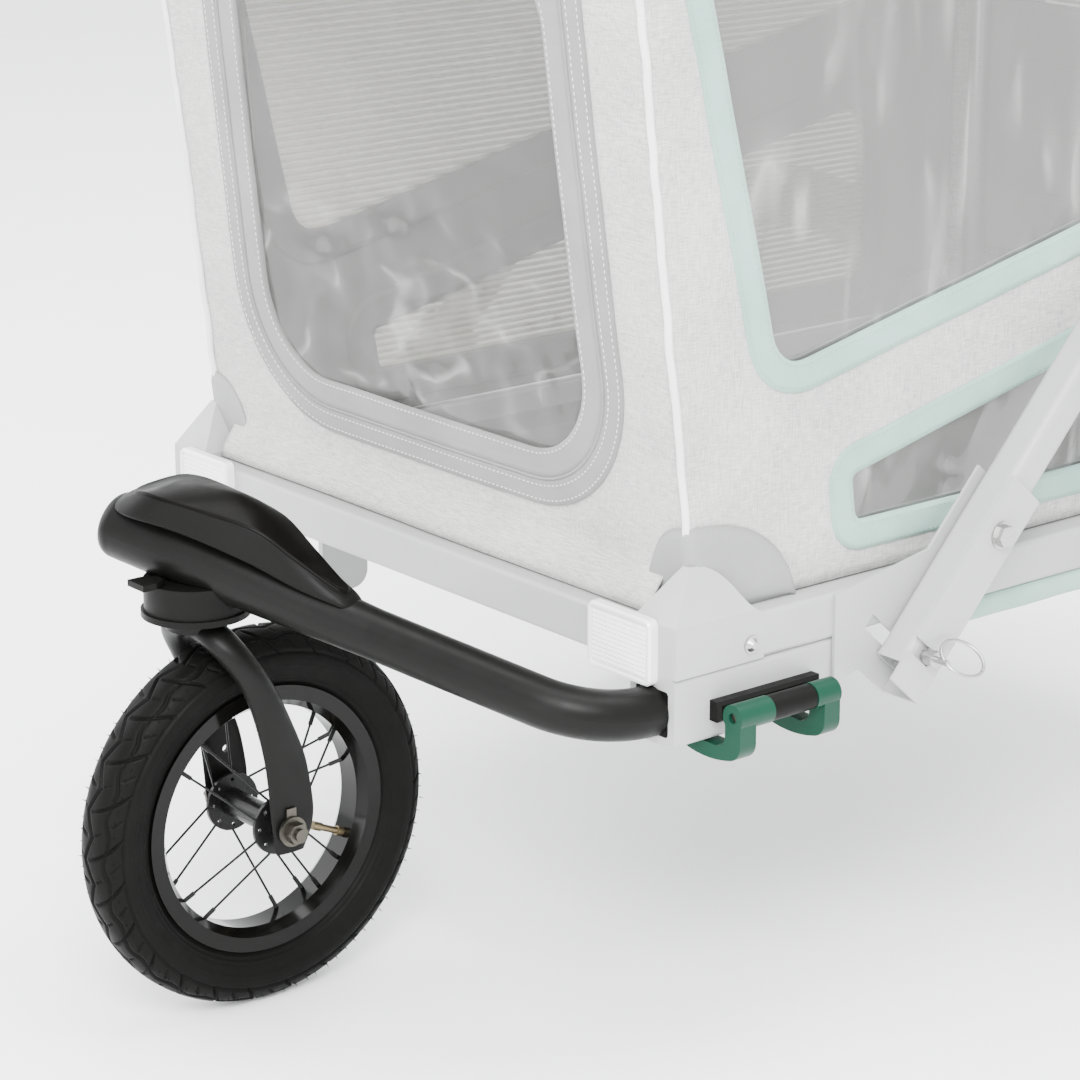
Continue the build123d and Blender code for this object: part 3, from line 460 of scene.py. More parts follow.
def resample(outline, step):
    """The same closed outline with even spacing."""
    points = [Vector(p) for p in outline] + [Vector(outline[0])]
    lengths = [(b - a).length for a, b in zip(points, points[1:])]
    total = sum(lengths)
    count = max(12, round(total / step))
    even = []
    walked, index = 0.0, 0
    for k in range(count):
        target = total * k / count
        while walked + lengths[index] < target:
            walked += lengths[index]
            index += 1
        share = (target - walked) / lengths[index] if lengths[index] else 0
        even.append(points[index].lerp(points[index + 1], share))
    return even


def grown(outline, distance):
    """Outline moved outwards by a distance, or inwards where it is negative."""
    area = sum(a.x * b.y - b.x * a.y for a, b in zip(outline, outline[1:] + outline[:1]))
    turn = 1 if area > 0 else -1
    moved = []
    for i, point in enumerate(outline):
        way = (outline[(i + 1) % len(outline)] - outline[i - 1]).normalized()
        moved.append(point + Vector((way.y, -way.x)) * (turn * distance))
    return moved


def inside(outline, u, v):
    hit = False
    for a, b in zip(outline, outline[1:] + outline[:1]):
        if (a.y > v) != (b.y > v) and u < (b.x - a.x) * (v - a.y) / (b.y - a.y) + a.x:
            hit = not hit
    return hit


def cloth_grid(name, u_span, v_span, step, place, keep, material, body, u_scale=1.0):
    """Sheet over a grid; cells that keep() refuses are left open. u_scale is the metres in one u."""
    nu = max(2, round((u_span[1] - u_span[0]) * u_scale / step))
    nv = max(2, round((v_span[1] - v_span[0]) / step))
    us = [u_span[0] + (u_span[1] - u_span[0]) * i / nu for i in range(nu + 1)]
    vs = [v_span[0] + (v_span[1] - v_span[0]) * j / nv for j in range(nv + 1)]
    wanted = [(i, j) for i in range(nu) for j in range(nv)
              if keep((us[i] + us[i + 1]) / 2, (vs[j] + vs[j + 1]) / 2)]
    index, verts, faces = {}, [], []
    for i, j in wanted:
        face = []
        for a, b in ((i, j), (i + 1, j), (i + 1, j + 1), (i, j + 1)):
            if (a, b) not in index:
                index[(a, b)] = len(verts)
                verts.append(place(us[a], vs[b]))
            face.append(index[(a, b)])
        faces.append(face)
    return new_piece(name, verts, faces, material, body)


def band(name, outer, inner, place, rise, material, body, across=5):
    """Ribbon between two outlines, slightly domed, lying just proud of the sheet."""
    rings = []
    for k in range(-1, across + 2):
        share = min(max(k / across, 0), 1)
        lift = -0.002 if k in (-1, across + 1) else rise * (0.84 + 0.16 * math.sin(math.pi * share))
        rings.append([place(*a.lerp(b, share), lift) for a, b in zip(outer, inner)])
    return skin(name, rings, material, body)


# one raised thread, as shares of its length, half width and height
STITCH = ((-1, 0, 0), (-0.5, -1, 0), (0.5, -1, 0), (1, 0, 0), (0.5, 1, 0), (-0.5, 1, 0),
          (-0.5, 0, 1), (0.5, 0, 1))


def stitches(name, outline, place, rise, material, body, pitch=0.0052, length=0.0032, closed=True):
    """Row of short raised threads along an outline."""
    points = resample(outline, pitch) if closed else outline
    verts, faces = [], []
    half_w, height = 0.0005, 0.0005
    for i, point in enumerate(points):
        way = (points[(i + 1) % len(points)] - points[i - 1]).normalized()
        side = Vector((way.y, -way.x))
        base = len(verts)
        for along, aside, up in STITCH:
            spot = point + way * (along * length / 2) + side * (aside * half_w)
            verts.append(place(spot.x, spot.y, rise + up * height))
        top, end = base + 6, base + 7
        faces += [(base, base + 1, top), (base + 1, base + 2, end, top), (base + 2, base + 3, end),
                  (base + 3, base + 4, end), (base + 4, base + 5, top, end), (base + 5, base, top)]
    return new_piece(name, verts, faces, material, body)


# --- fabric surfaces: each maps its own two coordinates and a lift to a point ---


def smooth(x):
    x = min(max(x, 0), 1)
    return x * x * (3 - 2 * x)


def wrinkle(u, v, seed, size):
    """Soft cloth unevenness in metres."""
    broad = noise.noise(Vector((u * 5.0, v * 4.0, seed)))
    fine = noise.noise(Vector((u * 17.0, v * 13.0, seed + 9)))
    return size * (broad + 0.35 * fine)


def pucker(z, distance, seed):
    """Gathers that the piping pulls into the cloth beside it."""
    return 0.0016 * noise.noise(Vector((z * 42, seed, distance * 6))) * math.exp(-distance / 0.035)


def dome(t, low, high):
    """0 at both ends and 1 in the middle."""
    share = min(max((t - low) / (high - low), 0), 1)
    return 4 * share * (1 - share)


def front_place(x, z, lift=0.0):
    bulge = 0.004 * dome(x, -SIDE_X, SIDE_X) * dome(z, RAIL_TOP, ROOF_Z)
    soft = wrinkle(x, z, 3.1, 0.0022) * dome(x, -0.34, 0.34)
    tuck = 0.022 * smooth((0.395 - z) / 0.036)
    gather = pucker(z, SIDE_X - abs(x), 1.5)
    return Vector((x, face_y(z) - bulge - soft - gather - tuck - lift, z))


def side_place(side):
    def place(y, z, lift=0.0):
        bulge = 0.005 * dome(y, SIDE_LOW.y, REAR_Y) * dome(z, RAIL_TOP, ROOF_Z)
        soft = wrinkle(y, z, 5.7 + side, 0.0022) * dome(z, 0.30, 0.96)
        gather = pucker(z, abs(y - face_y(z)), 4.5)
        return Vector((side * (SIDE_X - 0.002 + bulge + soft + gather + lift), y, z))
    return place


def rear_place(x, z, lift=0.0):
    bulge = 0.004 * dome(x, -SIDE_X, SIDE_X) * dome(z, RAIL_TOP, ROOF_Z)
    return Vector((x, REAR_Y + bulge + wrinkle(x, z, 8.3, 0.002) + lift, z))


ROOF_FRONT = face_y(ROOF_Z)


def roof_place(x, y, lift=0.0):
    crown = 0.006 * dome(x, -SIDE_X, SIDE_X) + 0.004 * dome(y, ROOF_FRONT, REAR_Y)
    return Vector((x, y, ROOF_Z - 0.006 + crown + wrinkle(x, y, 2.2, 0.0018) + lift))


# --- window outlines ---
UPPER_WINDOW = resample(rounded_polygon([(-0.341, 0.868), (-0.253, 0.505), (0.508, 0.672), (0.508, 0.868)],
                                        [0.03, 0.055, 0.05, 0.03]), 0.006)
LOWER_WINDOW = resample(rounded_polygon([(-0.182, 0.459), (-0.170, 0.3785), (0.478, 0.3785), (0.478, 0.614)],
                                        [0.030, 0.034, 0.05, 0.05]), 0.006)
BORDER_W = 0.024
DOOR_LOW, DOOR_HIGH = 0.409, 0.882


def door_outline(inset):
    """The front window's outline, inset by a distance."""
    bottom, top = 0.256 - inset, 0.243 - inset
    low, high = DOOR_LOW + inset, DOOR_HIGH - inset
    shape = rounded_polygon([(-bottom, low), (bottom, low), (top, high), (-top, high)],
                            [max(0.12 - inset, 0.02), max(0.12 - inset, 0.02), 0.05, 0.05], steps=12)
    return resample(shape, 0.006)


def matched(first, second):
    """Second outline with as many points as the first, each nearest in share of length."""
    count = len(first)
    fine = resample(second, 0.001)
    start = min(range(len(fine)), key=lambda k: (fine[k] - first[0]).length)
    turned = fine[start:] + fine[:start]
    return [turned[min(len(turned) - 1, round(len(turned) * k / count))] for k in range(count)]


def corner_notch(y, z):
    """True where the corner mouldings stand in front of the cloth's lower edge."""
    return z < 0.40 and (y < FRAME_FRONT + 0.086 or y > REAR_Y - 0.076)


def make_front():
    opening = door_outline(0.018)

    def keep(x, z):
        return not inside(opening, x, z) and not (z < 0.395 and abs(x) > 0.283)
    cover = cloth_grid("front_cover", (-SIDE_X + 0.006, SIDE_X - 0.006), (0.3595, ROOF_Z - 0.008), 0.0075,
                       front_place, keep, FABRIC, "frame")
    sewn(cover, 0.0016)
    stands_for("front_panel")

    outer, middle = door_outline(0), door_outline(0.0212)
    rim = band("door_surround", outer, matched(outer, middle), front_place, 0.0018, BORDER, "frame")
    folds(rim)
    for name, inset in (("surround_stitch_outer", 0.004), ("surround_stitch_inner", 0.016)):
        folds(stitches(name, door_outline(inset), front_place, 0.002, THREAD, "frame"))

    zip_line = [front_place(p.x, p.y, 0.0016) for p in door_outline(0.022)]
    folds(tube("door_zip", zip_line, 0.0011, BORDER, "frame", closed=True, sides=6))

    inner, edge = door_outline(0.0228), door_outline(0.046)
    flap = band("door_band", inner, matched(inner, edge), front_place, 0.0018, BORDER, "door")
    stands_for("front_door")
    stitches("door_stitch", door_outline(0.0425), front_place, 0.002, THREAD, "door")

    pane = door_outline(0.043)

    def film_place(x, z, lift=0.0):
        slack = dome(z, 0.42, 0.66) * dome(x, -0.23, 0.23)
        creases = 0.012 * slack * noise.noise(Vector((x * 9, z * 26, 4.0)))
        small = 0.004 * slack * noise.noise(Vector((x * 38, z * 30, 7.0)))
        return front_place(x, z, -0.001 + creases + small - 0.004 * slack)
    film = cloth_grid("door_film", (-0.22, 0.22), (0.445, 0.848), 0.004, film_place,
                      lambda x, z: inside(pane, x, z), DOOR_FILM, "door")


def make_sides():
    for side, name in SIDES:
        place = side_place(side)
        openings = [resample(grown(outline, -0.012), 0.012) for outline in (UPPER_WINDOW, LOWER_WINDOW)]

        def along(share, z):
            front = face_y(z) + 0.0015
            return front + (REAR_Y - 0.002 - front) * share

        def keep(share, z):
            y = along(share, z)
            return not corner_notch(y, z) and not any(inside(o, y, z) for o in openings)
        cover = cloth_grid(f"{name}_cover", (0, 1), (0.3595, ROOF_Z - 0.008), 0.0085,
                           lambda share, z, place=place: place(along(share, z), z), keep, FABRIC, "frame",
                           0.93)
        tidy_normals(cover)
        sewn(cover, 0.0016, 0)
        if side > 0:
            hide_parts("side_panels")
        for label, outline in (("upper", UPPER_WINDOW), ("lower", LOWER_WINDOW)):
            inner = grown(outline, -BORDER_W)
            trim = band(f"{name}_{label}_border", outline, inner, place, 0.0024, MINT, "frame")
            folds(trim)
            for tag, inset in (("outer", 0.003), ("inner", BORDER_W - 0.003)):
                folds(stitches(f"{name}_{label}_stitch_{tag}", grown(outline, -inset), place, 0.0026, MINT,
                               "frame"))
            pane = resample(grown(outline, -BORDER_W * 0.8), 0.012)
            lows = (min(p.x for p in pane), max(p.x for p in pane))
            highs = (min(p.y for p in pane), max(p.y for p in pane))

            def film_place(y, z, lift=0.0, place=place):
                slack = 0.0035 * noise.noise(Vector((y * 11, z * 5, 3.0))) + 0.0015 * noise.noise(
                    Vector((y * 40, z * 12, 6.0)))
                return place(y, z, -0.0025 + slack)
            film = cloth_grid(f"{name}_{label}_film", lows, highs, 0.0065, film_place,
                              lambda y, z, pane=pane: inside(pane, y, z), FILM, "frame")
            folds(film)
            if side < 0:
                fly = cloth_grid(f"{name}_{label}_mesh", lows, highs, 0.0085,
                                 lambda y, z, place=place: place(y, z, -0.0065),
                                 lambda y, z, pane=pane: inside(pane, y, z), MESH, "frame")
                folds(fly)
        for label, outline in (("upper", UPPER_WINDOW), ("lower", LOWER_WINDOW)):
            folds(band(f"{name}_{label}_lining_edge", grown(outline, 0.006), grown(outline, -BORDER_W),
                       lambda y, z, lift=0.0, place=place: place(y, z, -0.0095 - lift), 0.0015, LINER,
                       "frame"))
        lining = cloth_grid(f"{name}_lining", (0, 1), (0.362, ROOF_Z - 0.012), 0.012,
                            lambda share, z, place=place: place(along(share, z) + 0.004 * (0.5 - share), z,
                                                                -0.0085),
                            lambda share, z: keep(share, z) and not corner_notch(along(share, z) - 0.01, z),
                            LINER, "frame", 0.93)
        folds(lining)


def make_rear_and_roof():
    window = rounded_polygon([(-0.21, 0.56), (0.21, 0.56), (0.21, 0.84), (-0.21, 0.84)], [0.05] * 4)
    window = resample(window, 0.006)
    opening = grown(window, -0.012)

    def keep(x, z):
        return not inside(opening, x, z) and not (z < 0.40 and abs(x) > 0.283)
    rear = cloth_grid("rear_cover", (-SIDE_X + 0.003, SIDE_X - 0.003), (0.3595, ROOF_Z - 0.008), 0.009,
                      rear_place, keep, FABRIC, "frame")
    tidy_normals(rear)
    sewn(rear, 0.0016, 0)
    stands_for("rear_panel")
    trim = band("rear_window_border", window, grown(window, -BORDER_W), rear_place, 0.0024, MINT, "frame")
    folds(trim)
    pane = grown(window, -BORDER_W * 0.8)
    mesh = cloth_grid("rear_window_mesh", (-0.2, 0.2), (0.57, 0.83), 0.012,
                      lambda x, z: rear_place(x, z, -0.003),
                      lambda x, z: inside(pane, x, z), MESH, "frame")
    folds(mesh)

    roof = cloth_grid("roof_cover", (-SIDE_X, SIDE_X), (ROOF_FRONT - 0.001, REAR_Y + 0.003), 0.012,
                      roof_place, lambda x, y: True, FABRIC, "frame")
    sewn(roof, 0.0016)
    stands_for("roof_panel")


def make_piping():
    top = ROOF_Z - 0.004
    steps = 60
    for side, name in SIDES:
        x = side * (SIDE_X - 0.004)
        heights = [0.372 + (top - 0.372) * k / steps for k in range(steps + 1)]
        place = side_place(side)
        seam = [Vector((place(face_y(z), z).x - side * 0.0012, face_y(z) - pucker(z, 0.006, 1.5), z))
                for z in heights]
        folds(tube(f"{name}_front_piping", seam, 0.003, PIPING, "frame"))
        back = [Vector((x, REAR_Y + 0.001, z)) for z in heights]
        folds(tube(f"{name}_rear_piping", back, 0.003, PIPING, "frame"))
        edge = [Vector((side * (SIDE_X - 0.001), ROOF_FRONT + (REAR_Y - ROOF_FRONT) * k / steps, top))
                for k in range(steps + 1)]
        folds(tube(f"{name}_roof_piping", edge, 0.003, PIPING, "frame"))
    for name, y in (("front", ROOF_FRONT - 0.001), ("rear", REAR_Y + 0.002)):
        edge = [Vector((-SIDE_X + 2 * SIDE_X * k / steps, y, top)) for k in range(steps + 1)]
        folds(tube(f"{name}_roof_piping", edge, 0.003, PIPING, "frame"))


def make_corner_patches():
    """Arched skins behind the corner mouldings, wrapped from the end face round to the side."""
    steps, rows = 28, 8
    for end, tag in ((-1, "front"), (1, "rear")):
        for side, name in SIDES:
            half_side, half_end, peak = 0.098, 0.048, 0.428
            rings = []
            for j in range(rows + 1):
                share = j / rows
                ring = []
                for k in range(steps + 1):
                    s = -half_end + (half_end + half_side) * k / steps
                    reach = abs(s) / (half_end if s < 0 else half_side)
                    crest = 0.36 + (peak - 0.36) * math.sqrt(max(0.0, 1 - reach**2.4))
                    z = 0.3585 + (crest - 0.3585) * share
                    out = 0.0035 if 0 < j < rows else 0.0005
                    face = face_y(z) if end < 0 else REAR_Y
                    if s < 0:
                        ring.append(Vector((side * (SIDE_X + s), face + end * out, z)))
                    else:
                        ring.append(Vector((side * (SIDE_X + out), face - end * s, z)))
                rings.append(ring)
            patch = skin(f"{tag}_{name}_patch", rings, PATCH, "frame", closed_around=False)
            sewn(patch, 0.002, 0)


# --- tyres ---
def tyre_profile(radius, half_width, bead_r, bead_half, samples):
    """Outer outline from bead to bead as (across, radius), even along its length."""
    lip = bead_r + 0.009
    shoulder = bead_r + (radius - bead_r) * 0.52
    raw = [Vector((-bead_half, bead_r)), Vector((-bead_half, lip))]
    for k in range(1, 40):
        angle = math.pi * k / 40
        across = -math.cos(angle)
        raw.append(Vector((half_width * math.copysign(abs(across) ** 0.8, across),
                           shoulder + (radius - shoulder) * math.sin(angle))))
    raw += [Vector((bead_half, lip)), Vector((bead_half, bead_r))]
    low, high = raw[1], raw[2]
    flank = [low.lerp(high, t) + Vector((-0.0022, 0)) * math.sin(math.pi * t) for t in (0.25, 0.5, 0.75)]
    raw[2:2] = flank
    mirrored = [Vector((-p.x, p.y)) for p in reversed(flank)]
    raw[-2:-2] = mirrored
    lengths = [0.0]
    for a, b in zip(raw, raw[1:]):
        lengths.append(lengths[-1] + (b - a).length)
    even, index = [], 0
    for k in range(samples + 1):
        target = lengths[-1] * k / samples
        while index < len(raw) - 2 and lengths[index + 1] < target:
            index += 1
        share = (target - lengths[index]) / (lengths[index + 1] - lengths[index])
        even.append((raw[index].lerp(raw[index + 1], share), target - lengths[-1] / 2))
    return even


def groove(distance, half_width):
    """1 in a groove, falling to 0 at its edges."""
    return min(1.0, max(0.0, 1.6 - abs(distance) / half_width))


def tread_depth(u, v, pitch, reach):
    """Leaf-shaped shoulder blocks either side of a zigzag centre groove, with short sipes."""
    phase = u / pitch
    zigzag = 2 * abs((phase % 1) - 0.5) - 0.5
    deep = groove(v - zigzag * reach * 0.30, 0.0011)
    side = 1 if v > 0 else -1
    out = abs(v) / reach
    if out < 1.0:
        bend = 0.55 * out**1.7 + (0.0 if side > 0 else 0.5)
        lateral = ((phase + bend) % 1.0 - 0.5) * pitch
        deep = max(deep, groove(lateral, 0.0012) * min(1, out * 5))
        ring = out - 0.56 - 0.06 * math.sin(2 * math.pi * (phase + bend))
        deep = max(deep, 0.8 * groove(ring * reach, 0.0010))
        sipe = ((phase + bend + 0.5) % 1.0 - 0.5) * pitch
        if 0.66 < out < 0.9:
            deep = max(deep, 0.6 * groove(sipe, 0.0007))
        if 0.25 < out < 0.42:
            deep = max(deep, 0.5 * groove(sipe, 0.0007))
    edge = groove((out - 1.0) * reach, 0.0010)
    return max(deep, 0.7 * edge)


def make_tyre(name, radius, half_width, bead_r, bead_half, around, samples, pitches, node, body):
    low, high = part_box(node)
    centre = (Vector(low) + Vector(high)) / 2
    profile = tyre_profile(radius, half_width, bead_r, bead_half, samples)
    reach = half_width * 1.2
    pitch = 2 * math.pi * radius / pitches
    rings = []
    for i in range(around):
        angle = 2 * math.pi * i / around
        u = angle * radius
        ring = []
        for j, (point, v) in enumerate(profile):
            before, after = profile[max(j - 1, 0)][0], profile[min(j + 1, samples)][0]
            way = (after - before).normalized()
            normal = Vector((-way.y, way.x))
            depth = 0.0
            if abs(v) < reach * 1.15:
                depth = 0.0025 * tread_depth(u, v, pitch, reach)
            ridge = 0.0
            for spot in (bead_r + 0.0125, bead_r + 0.016, radius * 0.5 + bead_r * 0.5):
                ridge += 0.0006 * math.exp(-((point.y - spot) / 0.0008) ** 2) if abs(v) > reach else 0
            spot = point - normal * (depth - ridge)
            ring.append(centre + Vector((spot.x, spot.y * math.cos(angle), spot.y * math.sin(angle))))
        inner = [(bead_half - 0.003, bead_r), (half_width - 0.006, radius - 0.016), (0, radius - 0.007),
                 (-half_width + 0.006, radius - 0.016), (-bead_half + 0.003, bead_r)]
        ring += [centre + Vector((x, r * math.cos(angle), r * math.sin(angle))) for x, r in inner]
        rings.append(ring)
    tyre = skin(name, rings, RUBBER, body, closed_along=True)
    stands_for(node)
    return centre


def make_hairs(name, centre, radius, half_width, body, count):
    """Moulding vents left standing along both shoulders."""
    verts, faces = [], []
    for i in range(count):
        angle = 2 * math.pi * (i + random.uniform(-0.2, 0.2)) / count
        flank = 1 if i % 2 else -1
        across = flank * half_width * random.uniform(0.78, 0.86)
        start = Vector((across, (radius - 0.0085) * math.cos(angle), (radius - 0.0085) * math.sin(angle)))
        lean = Vector((flank * random.uniform(0.5, 1.2), math.cos(angle) + random.uniform(-0.3, 0.3),
                       math.sin(angle) + random.uniform(-0.3, 0.3))).normalized()
        side = lean.cross(Vector((1, 0, 0))).normalized() * 0.0006
        over = lean.cross(side).normalized() * 0.0006
        base = len(verts)
        verts += [centre + start + side, centre + start + over, centre + start - side, centre + start - over,
                  centre + start + lean * random.uniform(0.0028, 0.0042)]
        faces += [(base, base + 1, base + 4), (base + 1, base + 2, base + 4), (base + 2, base + 3, base + 4),
                  (base + 3, base, base + 4)]
    new_piece(name, verts, faces, RUBBER, body)


# --- cover over the arm's head ---
HEAD = Vector((0, -0.55, 0.375))
ARM_WAY = (Vector((0.306, -0.403, 0.293)) - HEAD).normalized()
ARM_UP = (Vector((0, 0, 1)) - ARM_WAY * ARM_WAY.z).normalized()
ARM_SIDE = ARM_UP.cross(ARM_WAY)
NOSE, TIP = -0.072, 0.144
LIP = [(NOSE, 0.026), (-0.03, 0.034), (0.01, 0.035), (0.06, 0.030), (0.10, 0.022), (TIP, 0.017)]
SEAM = [(-0.060, 0.038), (-0.034, 0.050), (0.032, 0.053), (0.06, 0.051), (0.09, 0.039), (0.12, 0.027),
        (0.134, 0.023)]
CREST = [(-0.060, 0.042), (-0.036, 0.052), (-0.008, 0.060), (0.024, 0.065), (0.05, 0.061), (0.085, 0.045),
         (0.115, 0.030), (0.134, 0.025)]


def curve_height(t, points):
    """Height at a place along the arm, smooth through (place, height) points."""
    if t <= points[0][0]:
        return points[0][1]
    if t >= points[-1][0]:
        return points[-1][1]
    i = max(k for k in range(len(points) - 1) if points[k][0] <= t)
    slopes = []
    for k in (i, i + 1):
        a, b = points[max(k - 1, 0)], points[min(k + 1, len(points) - 1)]
        slopes.append((b[1] - a[1]) / (b[0] - a[0]))
    (t0, h0), (t1, h1) = points[i], points[i + 1]
    span = t1 - t0
    u = (t - t0) / span
    return ((2 * u**3 - 3 * u**2 + 1) * h0 + (u**3 - 2 * u**2 + u) * span * slopes[0]
            + (3 * u**2 - 2 * u**3) * h1 + (u**3 - u**2) * span * slopes[1])


def drop_outline(nose, tip, half, tail, count):
    """Teardrop of (along, across) points: round nose, straightening sides, rounded tail."""
    wide = nose + half * 1.15
    end = tip - tail
    outline = []
    for k in range(count):
        angle = 2 * math.pi * (k + 0.5) / count
        t = (nose + tip) / 2 - (tip - nose) / 2 * math.cos(angle)
        if t < wide:
            w = half * math.sqrt(max(0.0, 1 - ((wide - t) / (wide - nose)) ** 2))
        elif t < end:
            share = (t - wide) / (end - wide)
            w = half + (tail - half) * (0.35 * share + 0.65 * share**1.6)
        else:
            w = tail * math.sqrt(max(0.0, 1 - ((t - end) / tail) ** 2))
        outline.append((t, math.copysign(w, math.sin(angle))))
    return outline


def cover_spot(t, w, height):
    return HEAD + ARM_WAY * t + ARM_SIDE * w + ARM_UP * height


def mixed_ring(low, high, share, low_curve, high_curve, lift=0.0):
    ring = []
    for (t0, w0), (t1, w1) in zip(low, high):
        h0, h1 = curve_height(t0, low_curve), curve_height(t1, high_curve)
        ring.append(cover_spot(t0 + (t1 - t0) * share, w0 + (w1 - w0) * share, h0 + (h1 - h0) * share + lift))
    return ring


def make_cover():
    count = 160
    lip = drop_outline(NOSE, TIP, 0.0375, 0.0150, count)
    lip_in = drop_outline(NOSE + 0.004, TIP - 0.004, 0.034, 0.0115, count)
    seam = drop_outline(-0.060, 0.134, 0.0345, 0.0085, count)
    seam_in = drop_outline(-0.056, 0.130, 0.031, 0.006, count)
    rings = [mixed_ring(lip_in, seam_in, 0.35, LIP, SEAM),
             mixed_ring(lip_in, seam_in, 0.0, LIP, SEAM, -0.0005),
             mixed_ring(lip, seam, 0.0, LIP, SEAM, -0.0022), mixed_ring(lip, seam, 0.02, LIP, SEAM, -0.0010),
             mixed_ring(lip, seam, 0.05, LIP, SEAM)]
    steps = 12
    for k in range(1, steps + 1):
        share = 0.05 + 0.93 * k / steps
        rings.append(mixed_ring(lip, seam, share, LIP, SEAM, 0.0012 * math.sin(math.pi * share)))
    rings.append(mixed_ring(lip, seam, 1.0, LIP, SEAM, 0.0002))
    rings += [mixed_ring(seam, seam_in, share, SEAM, SEAM, lift)
              for share, lift in ((0.35, 0.0001), (0.5, -0.003), (1.0, -0.004))]
    skirt = skin("head_cover_skirt", rings, PLASTIC, "arm")
    stands_for("head_cover")

    edge = drop_outline(-0.0585, 0.1325, 0.0335, 0.0078, count)
    rings = [mixed_ring(edge, edge, 0, SEAM, SEAM, -0.004), mixed_ring(edge, edge, 0, SEAM, SEAM, 0.0006)]
    bevel = drop_outline(-0.0570, 0.1300, 0.0322, 0.0068, count)
    rings.append(mixed_ring(bevel, bevel, 0, SEAM, SEAM, 0.0022))
    steps = 22
    for k in range(1, steps + 1):
        share = k / steps
        ring = []
        for t, w in bevel:
            base = curve_height(t, SEAM) + 0.0022
            spine = min(max(t, -0.030), 0.110)
            inner_t = t + (spine - t) * share
            across = abs(w) * (1 - share) / max(abs(w), 1e-6) if w else 0
            top = max(curve_height(inner_t, CREST), curve_height(inner_t, SEAM) + 0.0022)
            rise = 1 - across**1.7
            ring.append(cover_spot(inner_t, w * (1 - share), base + (top - base) * rise
                                   if share < 1 else top))
        rings.append(ring)
    panel = skin("head_cover_panel", rings, GLOSSY, "arm")
    stands_for("head_cover_top")


# --- reflectors, grip, skirts, seat ---
def make_reflector_pair(node, end, material):
    low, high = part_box(node)
    width, face = 0.072, high[1] if end > 0 else low[1]
    back = low[1] if end > 0 else high[1]
    pitch = 0.0036
    for side, name in SIDES:
        centre = side * ((high[0] - width / 2))
        outline = resample(rounded_polygon([(centre - width / 2, low[2]), (centre + width / 2, low[2]),
                                            (centre + width / 2, high[2]), (centre - width / 2, high[2])],
                                           [0.006] * 4), 0.002)
        rings = []
        for inset, depth in ((0, back), (0, face - end * 0.0022), (0.0014, face - end * 0.0004),
                             (0.0034, face - end * 0.0004), (0.0040, face - end * 0.002)):
            rings.append([Vector((p.x, depth, p.y)) for p in grown(outline, -inset)])
        verts, faces = rings_to_mesh(rings)
        count = len(outline)
        faces.append(tuple(range(count)))
        faces.append(tuple(range(4 * count, 5 * count)))
        columns, rows = int((width - 0.009) / pitch), int((high[2] - low[2] - 0.009) / pitch)
        for i in range(columns):
            for j in range(rows):
                x = centre + (i - (columns - 1) / 2) * pitch
                z = (low[2] + high[2]) / 2 + (j - (rows - 1) / 2) * pitch
                base = len(verts)
                half = pitch * 0.48
                verts += [Vector((x + a * half, face - end * 0.002, z + b * half))
                          for a, b in ((-1, -1), (1, -1), (1, 1), (-1, 1))]
                verts.append(Vector((x, face - end * 0.0005, z)))
                faces += [(base + k, base + (k + 1) % 4, base + 4) for k in range(4)]
        lens = tidy_normals(new_piece(f"{name}_{node}", verts, faces, material, "frame", smooth=False))
        if side > 0:
            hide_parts(node)


def make_handle_grip():
    low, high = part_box("handle_grip")
    centre_y, centre_z = (low[1] + high[1]) / 2, (low[2] + high[2]) / 2
    radius = (high[2] - low[2]) / 2
    steps = 160
    rings = []
    for k in range(steps + 1):
        share = k / steps
        x = low[0] + (high[0] - low[0]) * share
        taper = min(1.0, min(share, 1 - share) * 40 + 0.55)
        ridge = 0.0006 * math.sin(share * steps * 0.7) if 0.05 < share < 0.95 else 0
        r = (radius - 0.0006) * (0.85 + 0.15 * taper) + ridge
        rings.append([Vector((x, centre_y + r * math.cos(a), centre_z + r * math.sin(a)))
                      for a in (2 * math.pi * m / 32 for m in range(32))])
    grip = skin("handle_foam", rings, FOAM, "handle", cap=True)
    stands_for("handle_grip")


def make_floor_skirts():
    low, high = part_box("floor_skirts")
    steps = 80
    for side, name in SIDES:
        rings = []
        for k in range(steps + 1):
            y = low[1] + (high[1] - low[1]) * k / steps
            sag = 0.0012 * noise.noise(Vector((y * 20, side, 0)))
            x0, x1 = side * (high[0] - 0.010), side * (high[0] - 0.0012 + sag)
            profile = [(x0, high[2] - 0.0003), (x1, high[2] - 0.0003), (x1 + side * 0.0008, high[2] - 0.006),
                       (x1, low[2] + 0.004), (x1 - side * 0.002, low[2] + 0.0008), (x0, low[2] + 0.0008)]
            rings.append([Vector((x, y, z)) for x, z in profile])
        skirt = skin(f"{name}_floor_hem", rings, MINT, "frame", cap=True)
        if side > 0:
            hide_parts("floor_skirts")


